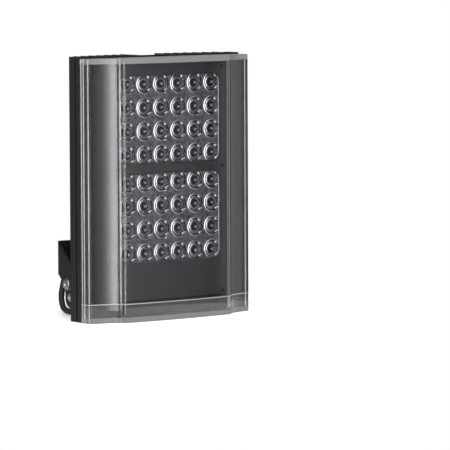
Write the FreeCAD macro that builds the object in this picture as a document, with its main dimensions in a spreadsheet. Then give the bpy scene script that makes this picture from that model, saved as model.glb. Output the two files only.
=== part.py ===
import FreeCAD, Part
import math
import os
import Sketcher

# Infrared illuminator: a finned housing with a clear front cover, two lens arrays and a tilting wall bracket.
# Millimetres. X is the width, Y points to the rear, Z is up.
# The origin lies on the flat bottom, on the plane where the cover's seal meets the housing flange.

SIZES = {
    # Housing and its flange
    "crown_space": 6.0,
    "top_overhang": 1.5,
    "flange_inset": 0.6,
    "flange_thickness": 6.0,
    "pedestal_depth": 7.0,
    "rim_gap": 0.6,
    "rim_wall": 2.2,
    "end_clearance": 0.25,
    "root_middle": 4.0,
    "root_edge": 0.5,
    "groove_width": 2.4,
    "groove_depth": 2.4,
    "edge_fin_thickness": 5.4,
    "edge_fin_tip": 17.4,
    # Rear fins
    "fin_thickness": 2.6,
    "fin_first": 20.6,
    "last_fin_inset": 12.6,
    "fin_count": 7.0,
    "arch_crown": 36.7,
    "arch_radius": 318.0,
    # Clear cover
    "cover_wall": 3.0,
    "seal_thickness": 1.0,
    "cover_room": 9.5,
    "window_radius": 520.0,
    "lip_shift": 1.7,
    "lip_height": 3.0,
    "step_run": 0.8,
    "step_fillet": 2.6,
    "step_height": 1.7,
    "wing_shift": 3.4,
    "wing_run": 27.9,
    "wing_radius": 50.0,
    "wing_sweep": 8.6,
    "corner_run": 0.4,
    "corner_drop": 1.2,
    "end_cap_height": 18.0,
    "seam_thickness": 0.6,
    # Cover and end cap screws
    "cover_screw_spread": 70.0,
    "cover_screw_depth": 4.2,
    "cover_screw_radius": 1.5,
    "cover_screw_length": 12.0,
    "cover_screw_head": 2.9,
    "cover_head_height": 1.7,
    "screw_gap": 0.2,
    "thread_gap": 0.03,
    # Bezel
    "bezel_bottom": 19.4,
    "panel_height": 35.4,
    "bar_height": 8.5,
    "top_border": 10.5,
    "side_border": 6.2,
    "bezel_thickness": 2.0,
    "bezel_corner": 4.0,
    "skirt_wall": 1.6,
    "seat_gap": 0.2,
    "bezel_screw_inset": 3.2,
    "bezel_screw_foot": 3.4,
    "bezel_screw_drop": 4.8,
    "bezel_screw_radius": 1.5,
    "bezel_screw_head": 2.4,
    "bezel_head_height": 1.4,
    "bezel_screw_bite": 5.0,
    "post_radius": 2.9,
    # Lens arrays
    "lens_pitch": 19.8,
    "lens_row_pitch": 22.6,
    "tray_border": 0.5,
    "tray_corner": 9.0,
    "tray_recess": 0.5,
    "tray_rim": 1.8,
    "tray_rim_thickness": 1.5,
    "lens_rim_radius": 9.2,
    "lens_dish_radius": 8.4,
    "lens_dish_floor": 4.2,
    "lens_dish_depth": 3.4,
    "lens_root_radius": 3.4,
    "lens_back_length": 1.4,
    "lens_gap": 0.3,
    # Emitter boards
    "board_side": 0.6,
    "board_end": 1.2,
    "board_thickness": 1.6,
    "pad_thickness": 0.3,
    "emitter_width": 3.5,
    "emitter_height": 1.1,
    "board_screw_side": 4.5,
    "board_screw_end": 4.0,
    "board_screw_radius": 1.5,
    "board_screw_head": 2.75,
    "board_head_height": 1.6,
    "board_screw_bite": 4.5,
    # Driver compartment
    "driver_width": 112.0,
    "driver_rise": 5.6,
    "driver_drop": 4.8,
    "driver_recess": 6.5,
    "driver_margin": 1.0,
    "standoff_height": 2.0,
    "standoff_radius": 2.6,
    "standoff_x": 52.0,
    "standoff_z": 8.0,
    "coil_radius": 8.0,
    "coil_bore": 3.4,
    "coil_height": 6.0,
    "capacitor_radius": 3.4,
    "capacitor_length": 13.0,
    "capacitor_gap": 0.4,
    "driver_chip_width": 9.0,
    "driver_chip_height": 2.4,
    "driver_chip_gap": 3.6,
    "terminal_width": 20.0,
    "terminal_height": 8.0,
    "terminal_depth": 6.5,
    "terminal_hole": 1.5,
    "wire_groove_width": 9.0,
    "wire_groove_depth": 4.5,
    "wire_groove_overlap": 4.0,
    # Cable gland
    "gland_height": 96.0,
    "gland_boss_radius": 13.0,
    "gland_boss_face": 6.0,
    "gland_thread_radius": 7.9,
    "gland_bore_gap": 0.1,
    "gland_hex_flats": 20.0,
    "gland_hex_thickness": 6.0,
    "gland_neck_radius": 8.2,
    "gland_neck_length": 8.0,
    "gland_bore": 5.0,
    "nut_radius": 10.2,
    "nut_skirt": 10.0,
    "nut_length": 18.0,
    "nut_mouth": 4.4,
    "nut_lip": 1.0,
    # Ears and tilt pivots
    "ear_thickness": 3.4,
    "ear_front": 7.0,
    "ear_rear": 42.0,
    "ear_bottom": 10.2,
    "ear_top": 45.4,
    "ear_low_corner": 9.5,
    "pivot_edge": 11.2,
    "ear_seat_front": 18.0,
    "ear_bolt_radius": 2.5,
    "ear_bolt_head": 4.2,
    "ear_bolt_head_height": 2.6,
    "ear_nut_flats": 8.0,
    "ear_nut_thickness": 2.7,
    "ear_bolt_rear": 31.6,
    "ear_bolt_rear_height": 21.3,
    "ear_bolt_front": 13.0,
    "ear_bolt_front_height": 19.0,
    "pivot_radius": 3.0,
    "pivot_gap": 0.06,
    "pivot_head": 5.25,
    "pivot_head_height": 3.3,
    "pivot_nut_flats": 10.0,
    "pivot_nut_thickness": 4.2,
    "friction_washer": 0.5,
    "friction_washer_radius": 6.0,
    "pivot_washer": 1.0,
    "pivot_washer_radius": 6.0,
    "slide_gap": 0.06,
    # Button heads, as shares of the head
    "button_rim_share": 0.35,
    "button_crown_share": 0.55,
    "socket_width_share": 0.6,
    "socket_depth_share": 0.6,
    # Mounting bracket
    "bracket_gauge": 3.0,
    "bracket_rear": 51.0,
    "bracket_bottom": 42.0,
    "bracket_top": 74.5,
    "bracket_bend": 3.6,
    "arm_front": 14.6,
    "arm_low": 42.0,
    "arm_nose": 6.5,
    "arm_brow": 70.5,
    "arm_tab": 7.0,
    "slot_pitch": 110.0,
    "slot_radius": 4.25,
    "centre_hole": 6.5,
    # Lead
    "lead_diameter": 6.0,
    "lead_coil_x": 16.5,
    "lead_coil_y": 87.0,
    "lead_coil_turn": 66.0,
    "lead_coil_across": 3.0,
    "lead_coil_layers": 2.0,
}

# Sizes that follow from the ones above, so that the pieces stay in step with the lens arrays
FOLLOWING = {
    # Lens trays and their boards
    "tray_width": "5 * lens_pitch + 2 * (lens_dish_radius + tray_border)",
    "tray_height": "3 * lens_row_pitch + 2 * (lens_dish_radius + tray_border)",
    "board_width": "tray_width + 2 * board_side",
    "board_height": "tray_height + 2 * board_end",
    "board_screw_x": "board_width / 2 - board_screw_side",
    "board_screw_z": "board_height / 2 - board_screw_end",
    # Heights, from the bezel's foot upwards
    "lower_array_middle": "bezel_bottom + panel_height + tray_height / 2",
    "upper_array_middle": "lower_array_middle + tray_height + bar_height",
    "bezel_top": "upper_array_middle + tray_height / 2 + top_border",
    "housing_height": "bezel_top + crown_space",
    "bezel_screw_low": "bezel_bottom + bezel_screw_foot",
    "bezel_screw_middle": "lower_array_middle + tray_height / 2 + bar_height / 2",
    "bezel_screw_high": "bezel_top - bezel_screw_drop",
    # Widths, from the middle outwards
    "bezel_half": "tray_width / 2 + side_border",
    "bezel_screw_half": "bezel_half - bezel_screw_inset",
    "lip_half": "bezel_half - lip_shift",
    "wing_half": "lip_half + step_run + wing_shift",
    "housing_width": "2 * (wing_half + wing_run)",
    "corner_half": "housing_width / 2 - corner_run",
    "rim_half": "housing_width / 2 - cover_wall - rim_gap",
    "fin_pitch": "(housing_width / 2 - last_fin_inset - fin_first) / (fin_count - 1)",
    # Depths, from the seal's plane forwards
    "lens_root_depth": "pedestal_depth + pad_thickness + board_thickness + emitter_height + lens_gap",
    "tray_seat": "lens_root_depth + lens_back_length + tray_rim_thickness",
    "bezel_front": "tray_seat + seat_gap + bezel_thickness",
    "tray_front": "bezel_front - tray_recess",
    "lip_depth": "bezel_front + cover_room + cover_wall",
    "step_depth": "lip_depth - lip_height",
    "wing_depth": "step_depth - step_height",
    "corner_depth": "wing_depth - wing_sweep",
    "corner_back": "corner_depth - corner_drop",
    "rim_depth": "corner_depth - cover_wall / sqrt(2) - rim_gap",
    # Driver compartment
    "driver_bottom": "bezel_bottom + driver_rise",
    "driver_height": "panel_height - driver_rise - driver_drop",
    "wire_groove_bottom": "driver_bottom + driver_height - wire_groove_overlap",
}

# The route of the lead from the gland to the coil, each point as X, Y, Z
LEAD_ROUTE = [
    (0.0, 30.0, 96.0),
    (0.0, 47.0, 96.0),
    (-5.0, 61.5, 93.0),
    (-14.0, 73.0, 86.5),
    (-25.0, 81.0, 77.5),
    (-36.0, 86.0, 65.0),
    (-45.0, 88.0, 51.5),
    (-51.5, 87.5, 38.5),
    (-56.5, 85.5, 27.5),
    (-61.5, 81.0, 16.5),
    (-64.0, 70.5, 7.0),
    (-61.0, 57.0, 3.0),
    (-51.0, 47.5, 3.0),
    (-37.0, 44.5, 3.0),
    (-22.5, 44.3, 3.0),
    (-8.0, 44.8, 3.0),
    (7.4, 46.2, 3.0),
    (23.6, 48.6, 3.0),
]

doc = FreeCAD.newDocument("Illuminator")
sheet = doc.addObject("Spreadsheet::Sheet", "Sizes")
cells = [(alias, str(number)) for alias, number in SIZES.items()]
cells += [(alias, f"={formula}") for alias, formula in FOLLOWING.items()]
for row, (alias, content) in enumerate(cells, start=1):
    sheet.set(f"A{row}", alias)
    sheet.set(f"B{row}", content)
    sheet.setAlias(f"B{row}", alias)
doc.recompute()

parts = {}


def expand(expression):
    """Write an expression over size names in full, with the sheet's name before each."""
    words = sorted([*SIZES, *FOLLOWING], key=len, reverse=True)
    marked = str(expression)
    for place, word in enumerate(words):
        marked = marked.replace(word, f"<{place}>")
    for place, word in enumerate(words):
        marked = marked.replace(f"<{place}>", f"Sizes.{word}")
    return marked


def size(expression):
    """The value of an expression over size names."""
    return float(sheet.evalExpression(expand(expression)))


def bind(thing, **expressions):
    """Bind properties of an object to expressions over size names."""
    for name, expression in expressions.items():
        thing.setExpression(name, expand(expression))


def place(thing, x="0", y="0", z="0", axis=None, angle=0.0):
    """Put a primitive at a place given by expressions, turned about an axis."""
    turn = FreeCAD.Rotation(FreeCAD.Vector(*axis), angle) if axis else FreeCAD.Rotation()
    thing.Placement = FreeCAD.Placement(FreeCAD.Vector(0, 0, 0), turn)
    thing.setExpression("Placement.Base.x", expand(x))
    thing.setExpression("Placement.Base.y", expand(y))
    thing.setExpression("Placement.Base.z", expand(z))
    return thing


def box(name, width, depth, height, x, y, z):
    """A block centred on x, with y its front face and z its underside."""
    block = doc.addObject("Part::Box", name)
    bind(block, Length=width, Width=depth, Height=height)
    return place(block, f"({x}) - ({width}) / 2", y, z)


def rod(name, radius, length, x, y, z, axis=None, angle=0.0):
    """A cylinder that starts at a point and runs along the turned Z axis."""
    bar = doc.addObject("Part::Cylinder", name)
    bind(bar, Radius=radius, Height=length)
    return place(bar, x, y, z, axis, angle)


def cone(name, radius_start, radius_end, length, x, y, z, axis=None, angle=0.0):
    taper = doc.addObject("Part::Cone", name)
    bind(taper, Radius1=radius_start, Radius2=radius_end, Height=length)
    return place(taper, x, y, z, axis, angle)


# Turns that point a primitive's length to the rear, to the front, to the right and to the left
REARWARD = {"axis": (1, 0, 0), "angle": -90.0}
FORWARD = {"axis": (1, 0, 0), "angle": 90.0}
RIGHTWARD = {"axis": (0, 1, 0), "angle": 90.0}
LEFTWARD = {"axis": (0, 1, 0), "angle": -90.0}
DOWNWARD = {"axis": (1, 0, 0), "angle": 180.0}


def join(name, pieces):
    """One solid fused from several."""
    fused = doc.addObject("Part::MultiFuse", name)
    fused.Shapes = pieces
    return fused


def cut(name, base, tool):
    trimmed = doc.addObject("Part::Cut", name)
    trimmed.Base = base
    trimmed.Tool = tool
    return trimmed


def group(name, pieces):
    """Several separate solids kept as one sub-part."""
    together = doc.addObject("Part::Compound", name)
    together.Links = pieces
    return together


def keep(name, thing):
    """Name a finished sub-part."""
    thing.Label = name
    parts[name] = thing
    return thing


def new_body(name):
    body = doc.addObject("PartDesign::Body", name)
    return keep(name, body)


def plane(body, role):
    return next(item for item in body.Origin.OriginFeatures if item.Role == role)


def sketch_on(body, role, name, offset="0"):
    """A sketch on one of the body's origin planes, moved along the plane's normal."""
    sketch = body.newObject("Sketcher::SketchObject", name)
    sketch.AttachmentSupport = [(plane(body, role), "")]
    sketch.MapMode = "FlatFace"
    sketch.setExpression("AttachmentOffset.Base.z", expand(offset))
    return sketch


def outline(sketch, corners):
    """Draw a closed outline. A corner is (x, y) or (x, y, radius, way).

    The radius and way describe an arc from this corner to the next one, with its centre on
    the left of the direction of travel for way 1, and on the right for way -1.
    """
    points = [FreeCAD.Vector(size(corner[0]), size(corner[1]), 0) for corner in corners]
    first = sketch.GeometryCount
    for index, corner in enumerate(corners):
        start = points[index]
        end = points[(index + 1) % len(points)]
        if len(corner) == 2:
            sketch.addGeometry(Part.LineSegment(start, end), False)
            continue
        radius = size(corner[2])
        chord = end - start
        normal = FreeCAD.Vector(-chord.y, chord.x, 0).normalize() * corner[3]
        rise = math.sqrt(max(radius**2 - (chord.Length / 2) ** 2, 0.0))
        middle = (start + end) / 2 + normal * (rise - radius)
        sketch.addGeometry(Part.Arc(start, middle, end), False)
    count = len(corners)
    ends = []
    for index, corner in enumerate(corners):
        # An arc runs anticlockwise in the sketch, so its own ends may be the other way round
        backwards = len(corner) > 2 and corner[3] < 0
        ends.append((2, 1) if backwards else (1, 2))
    for index, corner in enumerate(corners):
        here = first + index
        after = first + (index + 1) % count
        sketch.addConstraint(
            Sketcher.Constraint("Coincident", here, ends[index][1], after, ends[(index + 1) % count][0])
        )
        for kind, expression in (("DistanceX", corner[0]), ("DistanceY", corner[1])):
            number = sketch.addConstraint(
                Sketcher.Constraint(kind, -1, 1, here, ends[index][0], size(expression))
            )
            sketch.setExpression(f"Constraints[{number}]", expand(expression))
        if len(corner) > 2:
            number = sketch.addConstraint(Sketcher.Constraint("Radius", here, size(corner[2])))
            sketch.setExpression(f"Constraints[{number}]", expand(corner[2]))
    return sketch


def circle(sketch, x, y, radius):
    """A circle with its centre and radius bound to expressions."""
    centre = FreeCAD.Vector(size(x), size(y), 0)
    number = sketch.addGeometry(Part.Circle(centre, FreeCAD.Vector(0, 0, 1), size(radius)), False)
    for kind, expression in (("DistanceX", x), ("DistanceY", y)):
        place_in = sketch.addConstraint(Sketcher.Constraint(kind, -1, 1, number, 3, size(expression)))
        sketch.setExpression(f"Constraints[{place_in}]", expand(expression))
    girth = sketch.addConstraint(Sketcher.Constraint("Radius", number, size(radius)))
    sketch.setExpression(f"Constraints[{girth}]", expand(radius))


def turning_axis(sketch, foot, tip):
    """A line from foot to tip that a section turns about."""
    ends = [FreeCAD.Vector(size(x), size(y), 0) for x, y in (foot, tip)]
    sketch.addGeometry(Part.LineSegment(*ends), False)
    for end, corner in enumerate((foot, tip), start=1):
        for kind, expression in zip(("DistanceX", "DistanceY"), corner):
            number = sketch.addConstraint(Sketcher.Constraint(kind, -1, 1, 0, end, size(expression)))
            sketch.setExpression(f"Constraints[{number}]", expand(expression))
    return (sketch, ["Edge1"])


def rounded_rectangle(sketch, x_low, x_high, y_low, y_high, radius):
    """A rectangle with round corners, drawn anticlockwise."""
    outline(
        sketch,
        [
            (f"({x_low}) + ({radius})", y_low),
            (f"({x_high}) - ({radius})", y_low, radius, 1),
            (x_high, f"({y_low}) + ({radius})"),
            (x_high, f"({y_high}) - ({radius})", radius, 1),
            (f"({x_high}) - ({radius})", y_high),
            (f"({x_low}) + ({radius})", y_high, radius, 1),
            (x_low, f"({y_high}) - ({radius})"),
            (x_low, f"({y_low}) + ({radius})", radius, 1),
        ],
    )


def pad(body, sketch, length, reverse=False, both=False):
    """Extrude a sketch. The length is an expression; both extrudes half to each side."""
    feature = body.newObject("PartDesign::Pad", sketch.Name + "Pad")
    feature.Profile = sketch
    feature.Reversed = reverse
    feature.Midplane = both
    bind(feature, Length=length)
    return feature


def pocket(body, sketch, length=None, reverse=False, both=False):
    """Cut a sketch into the body, through everything when no length is given."""
    feature = body.newObject("PartDesign::Pocket", sketch.Name + "Pocket")
    feature.Profile = sketch
    feature.Reversed = reverse
    feature.Midplane = both
    if length is None:
        feature.Type = "ThroughAll"
    else:
        feature.Type = "Length"
        bind(feature, Length=length)
    return feature


def mirrored_outline(half):
    """A symmetric outline from its right half, listed from the front middle to the rear middle."""
    left = []
    for index in range(len(half) - 1, -1, -1):
        x, y = half[index][0], half[index][1]
        # The arc that leaves a left corner is the mirror of the one that reached the right corner
        before = half[index - 1] if index > 0 else None
        curve = before[2:] if before is not None and len(before) > 2 else ()
        left.append((f"-({x})", y) + tuple(curve))
    return half + left


def cover_outline(body, name, offset):
    """The cover's section: bowed window, stepped lip and hollow side wings that sweep back."""
    sketch = sketch_on(body, "XY_Plane", name, offset)
    half = [
        ("lip_half", "-lip_depth"),
        ("lip_half + step_run", "-step_depth", "step_fillet", -1),
        ("wing_half", "-wing_depth", "wing_radius", -1),
        ("corner_half", "-corner_depth"),
        ("housing_width / 2", "-corner_back"),
        ("housing_width / 2", "-seal_thickness"),
    ]
    corners = mirrored_outline(half)
    corners[-1] = corners[-1][:2] + ("window_radius", 1)
    return outline(sketch, corners)


def hollow_cover(body, name, low, depth):
    """Cut the cover's inside away, one wall behind its section, from a height upwards."""
    sketch = sketch_on(body, "XY_Plane", name, low)
    inner_lip = "(lip_half - cover_wall)"
    inner_radius = "(window_radius - cover_wall)"
    centre = "(sqrt(window_radius * window_radius - lip_half * lip_half) - lip_depth)"
    half = [
        (inner_lip, f"{centre} - sqrt({inner_radius} * {inner_radius} - {inner_lip} * {inner_lip})"),
        ("lip_half + step_run - cover_wall", "-step_depth", "step_fillet + cover_wall", -1),
        ("wing_half", "cover_wall - wing_depth", "wing_radius + cover_wall", -1),
        ("housing_width / 2 - cover_wall", "cover_wall / sqrt(2) - corner_depth"),
        ("housing_width / 2 - cover_wall", "0"),
    ]
    corners = mirrored_outline(half)
    corners[-1] = corners[-1][:2] + (inner_radius, 1)
    outline(sketch, corners)
    return pocket(body, sketch, depth, reverse=True)


def screw_row(sketch, radius):
    """Three holes across the width, inside the pedestal's depth."""
    for across in ("-cover_screw_spread", "0", "cover_screw_spread"):
        circle(sketch, across, "-cover_screw_depth", radius)


def countersinks(body, height, upward):
    """Clearance holes with countersinks, for the screws that enter from an end."""
    through = sketch_on(body, "XY_Plane", body.Name + "Holes", height)
    screw_row(through, "cover_screw_radius + screw_gap")
    pocket(body, through, "2 * cover_wall", both=True)
    for index, across in enumerate(("-cover_screw_spread", "0", "cover_screw_spread")):
        profile = sketch_on(body, "XZ_Plane", f"{body.Name}Sink{index}", "cover_screw_depth")
        way = "-" if upward else "+"
        outline(
            profile,
            [
                (across, height),
                (f"{across} + cover_screw_head + screw_gap", height),
                (f"{across} + cover_screw_radius + screw_gap", f"{height} {way} cover_head_height"),
                (across, f"{height} {way} cover_head_height"),
            ],
        )
        sink = body.newObject("PartDesign::Groove", f"{profile.Name}Groove")
        sink.Profile = profile
        sink.ReferenceAxis = (profile, ["Edge4"])
        sink.Angle = 360.0


def make_front_cover():
    """The clear cover above the seam, closed at its top."""
    body = new_body("front_cover")
    sketch = cover_outline(body, "CoverSection", "end_cap_height")
    pad(body, sketch, "housing_height - end_cap_height")
    hollow_cover(body, "CoverInside", "end_cap_height", "housing_height - end_cap_height - cover_wall")
    countersinks(body, "housing_height", True)


def make_lower_end_cap():
    """The clear cap below the seam, closed at its bottom."""
    body = new_body("lower_end_cap")
    sketch = cover_outline(body, "CapSection", "0")
    pad(body, sketch, "end_cap_height - seam_thickness")
    hollow_cover(body, "CapInside", "cover_wall", "end_cap_height - seam_thickness - cover_wall")
    countersinks(body, "0", False)


def make_seam_seal():
    """The strip that closes the seam between the cover and its end cap."""
    body = new_body("seam_seal")
    sketch = cover_outline(body, "SeamSection", "end_cap_height - seam_thickness")
    pad(body, sketch, "seam_thickness")
    hollow_cover(body, "SeamInside", "end_cap_height - seam_thickness", "seam_thickness")


def make_cover_seal():
    """The flat frame gasket between the cover's rim and the flange."""
    body = new_body("cover_seal")
    sketch = sketch_on(body, "XZ_Plane", "SealFrame")
    edge = "housing_width / 2 - flange_inset"
    outline(
        sketch,
        [
            (f"-({edge})", "end_clearance"),
            (edge, "end_clearance"),
            (edge, "housing_height - end_clearance"),
            (f"-({edge})", "housing_height - end_clearance"),
        ],
    )
    inner = "housing_width / 2 - cover_wall"
    outline(
        sketch,
        [
            (f"-({inner})", "cover_wall"),
            (inner, "cover_wall"),
            (inner, "housing_height - cover_wall"),
            (f"-({inner})", "housing_height - cover_wall"),
        ],
    )
    pad(body, sketch, "seal_thickness")


def fin_comb(body, side):
    """The fins on one side of the middle channel."""
    sign = "" if side > 0 else "-"
    hand = "Right" if side > 0 else "Left"
    sketch = sketch_on(body, "XY_Plane", f"{hand}Fin")
    near = f"{sign}(fin_first - fin_thickness / 2)"
    far = f"{sign}(fin_first + fin_thickness / 2)"
    low, high = (near, far) if side > 0 else (far, near)
    outline(sketch, [(low, "0"), (high, "0"), (high, "arch_crown"), (low, "arch_crown")])
    fin = pad(body, sketch, "housing_height + top_overhang")
    comb = body.newObject("PartDesign::LinearPattern", f"{hand}Comb")
    comb.Originals = [fin]
    comb.Direction = (plane(body, "X_Axis"), [""])
    comb.Reversed = side < 0
    bind(comb, Length="fin_pitch * (fin_count - 1)", Occurrences="fin_count")
    body.Tip = comb


def ear_outline(sketch, front):
    """The ear seen from the side, with the pivot at the middle of its upper rear corner."""
    outline(
        sketch,
        [
            (front, "ear_bottom"),
            ("ear_rear - ear_low_corner", "ear_bottom", "ear_low_corner", 1),
            ("ear_rear", "ear_bottom + ear_low_corner"),
            ("ear_rear", "ear_top - pivot_edge", "pivot_edge", 1),
            ("ear_rear - pivot_edge", "ear_top"),
            (front, "ear_top"),
        ],
    )


PIVOT_Y = "ear_rear - pivot_edge"
PIVOT_Z = "ear_top - pivot_edge"
LAST_FIN = "(fin_first + fin_pitch * (fin_count - 1))"
SEAT_OUTSIDE = f"({LAST_FIN} + fin_thickness / 2)"
SEAT_INSIDE = f"({LAST_FIN} - fin_thickness / 2)"
EAR_BOLTS = [
    ("ear_bolt_rear", "ear_bolt_rear_height"),
    ("ear_bolt_front", "ear_bolt_front_height"),
]


def make_heatsink_housing():
    """The housing: seal flange, pedestal for the boards between two rims, and arched rows of fins."""
    body = new_body("heatsink_housing")
    base = sketch_on(body, "XY_Plane", "HousingSection")
    edge = "housing_width / 2 - flange_inset"
    half = [
        ("rim_half - rim_wall", "-pedestal_depth"),
        ("rim_half - rim_wall", "-rim_depth"),
        ("rim_half", "-rim_depth"),
        ("rim_half", "0"),
        (edge, "0"),
        (edge, "flange_thickness"),
        (f"{edge} - groove_depth", "flange_thickness"),
        (f"{edge} - groove_depth", "flange_thickness + groove_width"),
        (edge, "flange_thickness + groove_width"),
        (edge, "edge_fin_tip"),
        (f"{edge} - edge_fin_thickness", "edge_fin_tip"),
        (f"{edge} - edge_fin_thickness", "root_edge"),
    ]
    corners = mirrored_outline(half)
    reach = f"({edge} - edge_fin_thickness)"
    drop = "(root_middle - root_edge)"
    root_radius = f"({reach} * {reach} / (2 * {drop}) + {drop} / 2)"
    corners[len(half) - 1] = half[-1] + (root_radius, 1)
    outline(base, corners)
    pad(body, base, "housing_height + top_overhang")

    for side in (1, -1):
        fin_comb(body, side)

    arch = sketch_on(body, "XY_Plane", "Arch")
    fall = f"(arch_radius - sqrt(arch_radius * arch_radius - {SEAT_OUTSIDE} * {SEAT_OUTSIDE}))"
    outline(
        arch,
        [
            (f"-{SEAT_OUTSIDE}", f"arch_crown + {fall}"),
            (f"-{SEAT_OUTSIDE}", f"arch_crown - {fall}", "arch_radius", -1),
            (SEAT_OUTSIDE, f"arch_crown - {fall}"),
            (SEAT_OUTSIDE, f"arch_crown + {fall}"),
        ],
    )
    pocket(body, arch, reverse=True)

    for side in (1, -1):
        hand = "Right" if side > 0 else "Left"
        start = SEAT_INSIDE if side > 0 else f"-{SEAT_INSIDE}"
        seat = sketch_on(body, "YZ_Plane", f"{hand}EarSeat", start)
        ear_outline(seat, "ear_seat_front")
        pad(body, seat, "fin_thickness", reverse=side < 0)

    ends = sketch_on(body, "XZ_Plane", "PedestalEnds", "rim_depth")
    for low, high in (("0", "cover_wall + end_clearance"),
                      ("housing_height - cover_wall - end_clearance", "housing_height + top_overhang")):
        outline(ends, [("-rim_half", low), ("rim_half", low), ("rim_half", high), ("-rim_half", high)])
    pocket(body, ends, "rim_depth")

    boss = sketch_on(body, "XZ_Plane", "GlandBoss")
    circle(boss, "0", "gland_height", "gland_boss_radius")
    pad(body, boss, "gland_boss_face", reverse=True)
    bore = sketch_on(body, "XZ_Plane", "GlandBore")
    circle(bore, "0", "gland_height", "gland_thread_radius + gland_bore_gap")
    pocket(body, bore, "4 * pedestal_depth", both=True)

    groove = sketch_on(body, "XZ_Plane", "WireGroove", "pedestal_depth")
    rounded_rectangle(
        groove,
        "-wire_groove_width / 2",
        "wire_groove_width / 2",
        "wire_groove_bottom",
        "gland_height",
        "wire_groove_width / 3",
    )
    pocket(body, groove, "wire_groove_depth")

    recess = sketch_on(body, "XZ_Plane", "DriverRecess", "pedestal_depth")
    rounded_rectangle(
        recess,
        "-(driver_width / 2 + driver_margin)",
        "driver_width / 2 + driver_margin",
        "driver_bottom - driver_margin",
        "driver_bottom + driver_height + driver_margin",
        "2 * driver_margin",
    )
    pocket(body, recess, "driver_recess")

    front_holes = sketch_on(body, "XZ_Plane", "FrontHoles", "pedestal_depth")
    for x, z in bezel_screw_places():
        circle(front_holes, x, z, "bezel_screw_radius + thread_gap")
    pocket(body, front_holes, "bezel_screw_bite + end_clearance")
    board_holes = sketch_on(body, "XZ_Plane", "BoardHoles", "pedestal_depth")
    for x, z in board_screw_places("upper") + board_screw_places("lower"):
        circle(board_holes, x, z, "board_screw_radius + thread_gap")
    pocket(body, board_holes, "board_screw_bite + end_clearance")

    for level, name, away in (("0", "BottomTaps", True), ("housing_height", "TopTaps", False)):
        taps = sketch_on(body, "XY_Plane", name, level)
        screw_row(taps, "cover_screw_radius + thread_gap")
        pocket(body, taps, "cover_wall + cover_screw_length + end_clearance", reverse=away)

    pivots = sketch_on(body, "YZ_Plane", "EarHoles")
    circle(pivots, PIVOT_Y, PIVOT_Z, "pivot_radius + pivot_gap")
    for y, z in EAR_BOLTS:
        circle(pivots, y, z, "ear_bolt_radius + thread_gap")
    pocket(body, pivots, f"2 * ({SEAT_OUTSIDE} + end_clearance)", both=True)


def bezel_screw_places():
    heights = ("bezel_screw_low", "bezel_screw_middle", "bezel_screw_high")
    return [(x, z) for x in ("-bezel_screw_half", "bezel_screw_half") for z in heights]


def board_screw_places(level):
    middle = f"{level}_array_middle"
    return [
        (f"{across} * board_screw_x", f"{middle} + {up} * board_screw_z")
        for across in (-1, 1)
        for up in (-1, 1)
    ]


def make_bezel_frame():
    """The black frame: a face plate with two windows, a skirt behind its edge and six screw posts."""
    body = new_body("bezel_frame")
    face = sketch_on(body, "XZ_Plane", "BezelFace", "bezel_front - bezel_thickness")
    rounded_rectangle(face, "-bezel_half", "bezel_half", "bezel_bottom", "bezel_top", "bezel_corner")
    pad(body, face, "bezel_thickness")
    skirt = sketch_on(body, "XZ_Plane", "BezelSkirt", "bezel_front - bezel_thickness")
    rounded_rectangle(skirt, "-bezel_half", "bezel_half", "bezel_bottom", "bezel_top", "bezel_corner")
    rounded_rectangle(
        skirt,
        "-(bezel_half - skirt_wall)",
        "bezel_half - skirt_wall",
        "bezel_bottom + skirt_wall",
        "bezel_top - skirt_wall",
        "bezel_corner - skirt_wall",
    )
    depth = "bezel_front - bezel_thickness - pedestal_depth - seat_gap"
    pad(body, skirt, depth, reverse=True)
    posts = sketch_on(body, "XZ_Plane", "BezelPosts", "bezel_front - bezel_thickness")
    for x, z in bezel_screw_places():
        circle(posts, x, z, "post_radius")
    pad(body, posts, depth, reverse=True)
    windows = sketch_on(body, "XZ_Plane", "BezelWindows", "bezel_front")
    for level in ("upper", "lower"):
        middle = f"{level}_array_middle"
        rounded_rectangle(
            windows,
            "-(tray_width / 2 + end_clearance)",
            "tray_width / 2 + end_clearance",
            f"{middle} - tray_height / 2 - end_clearance",
            f"{middle} + tray_height / 2 + end_clearance",
            "tray_corner + end_clearance",
        )
    pocket(body, windows, "bezel_thickness")
    heads = sketch_on(body, "XZ_Plane", "BezelHeads", "bezel_front")
    for x, z in bezel_screw_places():
        circle(heads, x, z, "bezel_screw_head + screw_gap")
    pocket(body, heads, "bezel_head_height + screw_gap")
    holes = sketch_on(body, "XZ_Plane", "BezelHoles", "bezel_front")
    for x, z in bezel_screw_places():
        circle(holes, x, z, "bezel_screw_radius + screw_gap")
    pocket(body, holes)


def make_bezel_screws():
    screws = []
    seat = "-(bezel_front - bezel_head_height - screw_gap)"
    shank = "bezel_front - bezel_head_height - screw_gap - pedestal_depth + bezel_screw_bite"
    for index, (x, z) in enumerate(bezel_screw_places()):
        head = rod(f"BezelHead{index}", "bezel_screw_head", "bezel_head_height", x, seat, z, **FORWARD)
        thread = rod(f"BezelShank{index}", "bezel_screw_radius", shank, x, seat, z, **REARWARD)
        screws.append(join(f"BezelScrew{index}", [head, thread]))
    keep("bezel_screws", group("BezelScrews", screws))


def lens_places(level):
    """The middles of the 24 lenses of one array."""
    middle = f"{level}_array_middle"
    return [
        (f"{(2 * column - 5) / 2} * lens_pitch", f"{middle} + {(2 * line - 3) / 2} * lens_row_pitch")
        for line in range(4)
        for column in range(6)
    ]


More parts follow.
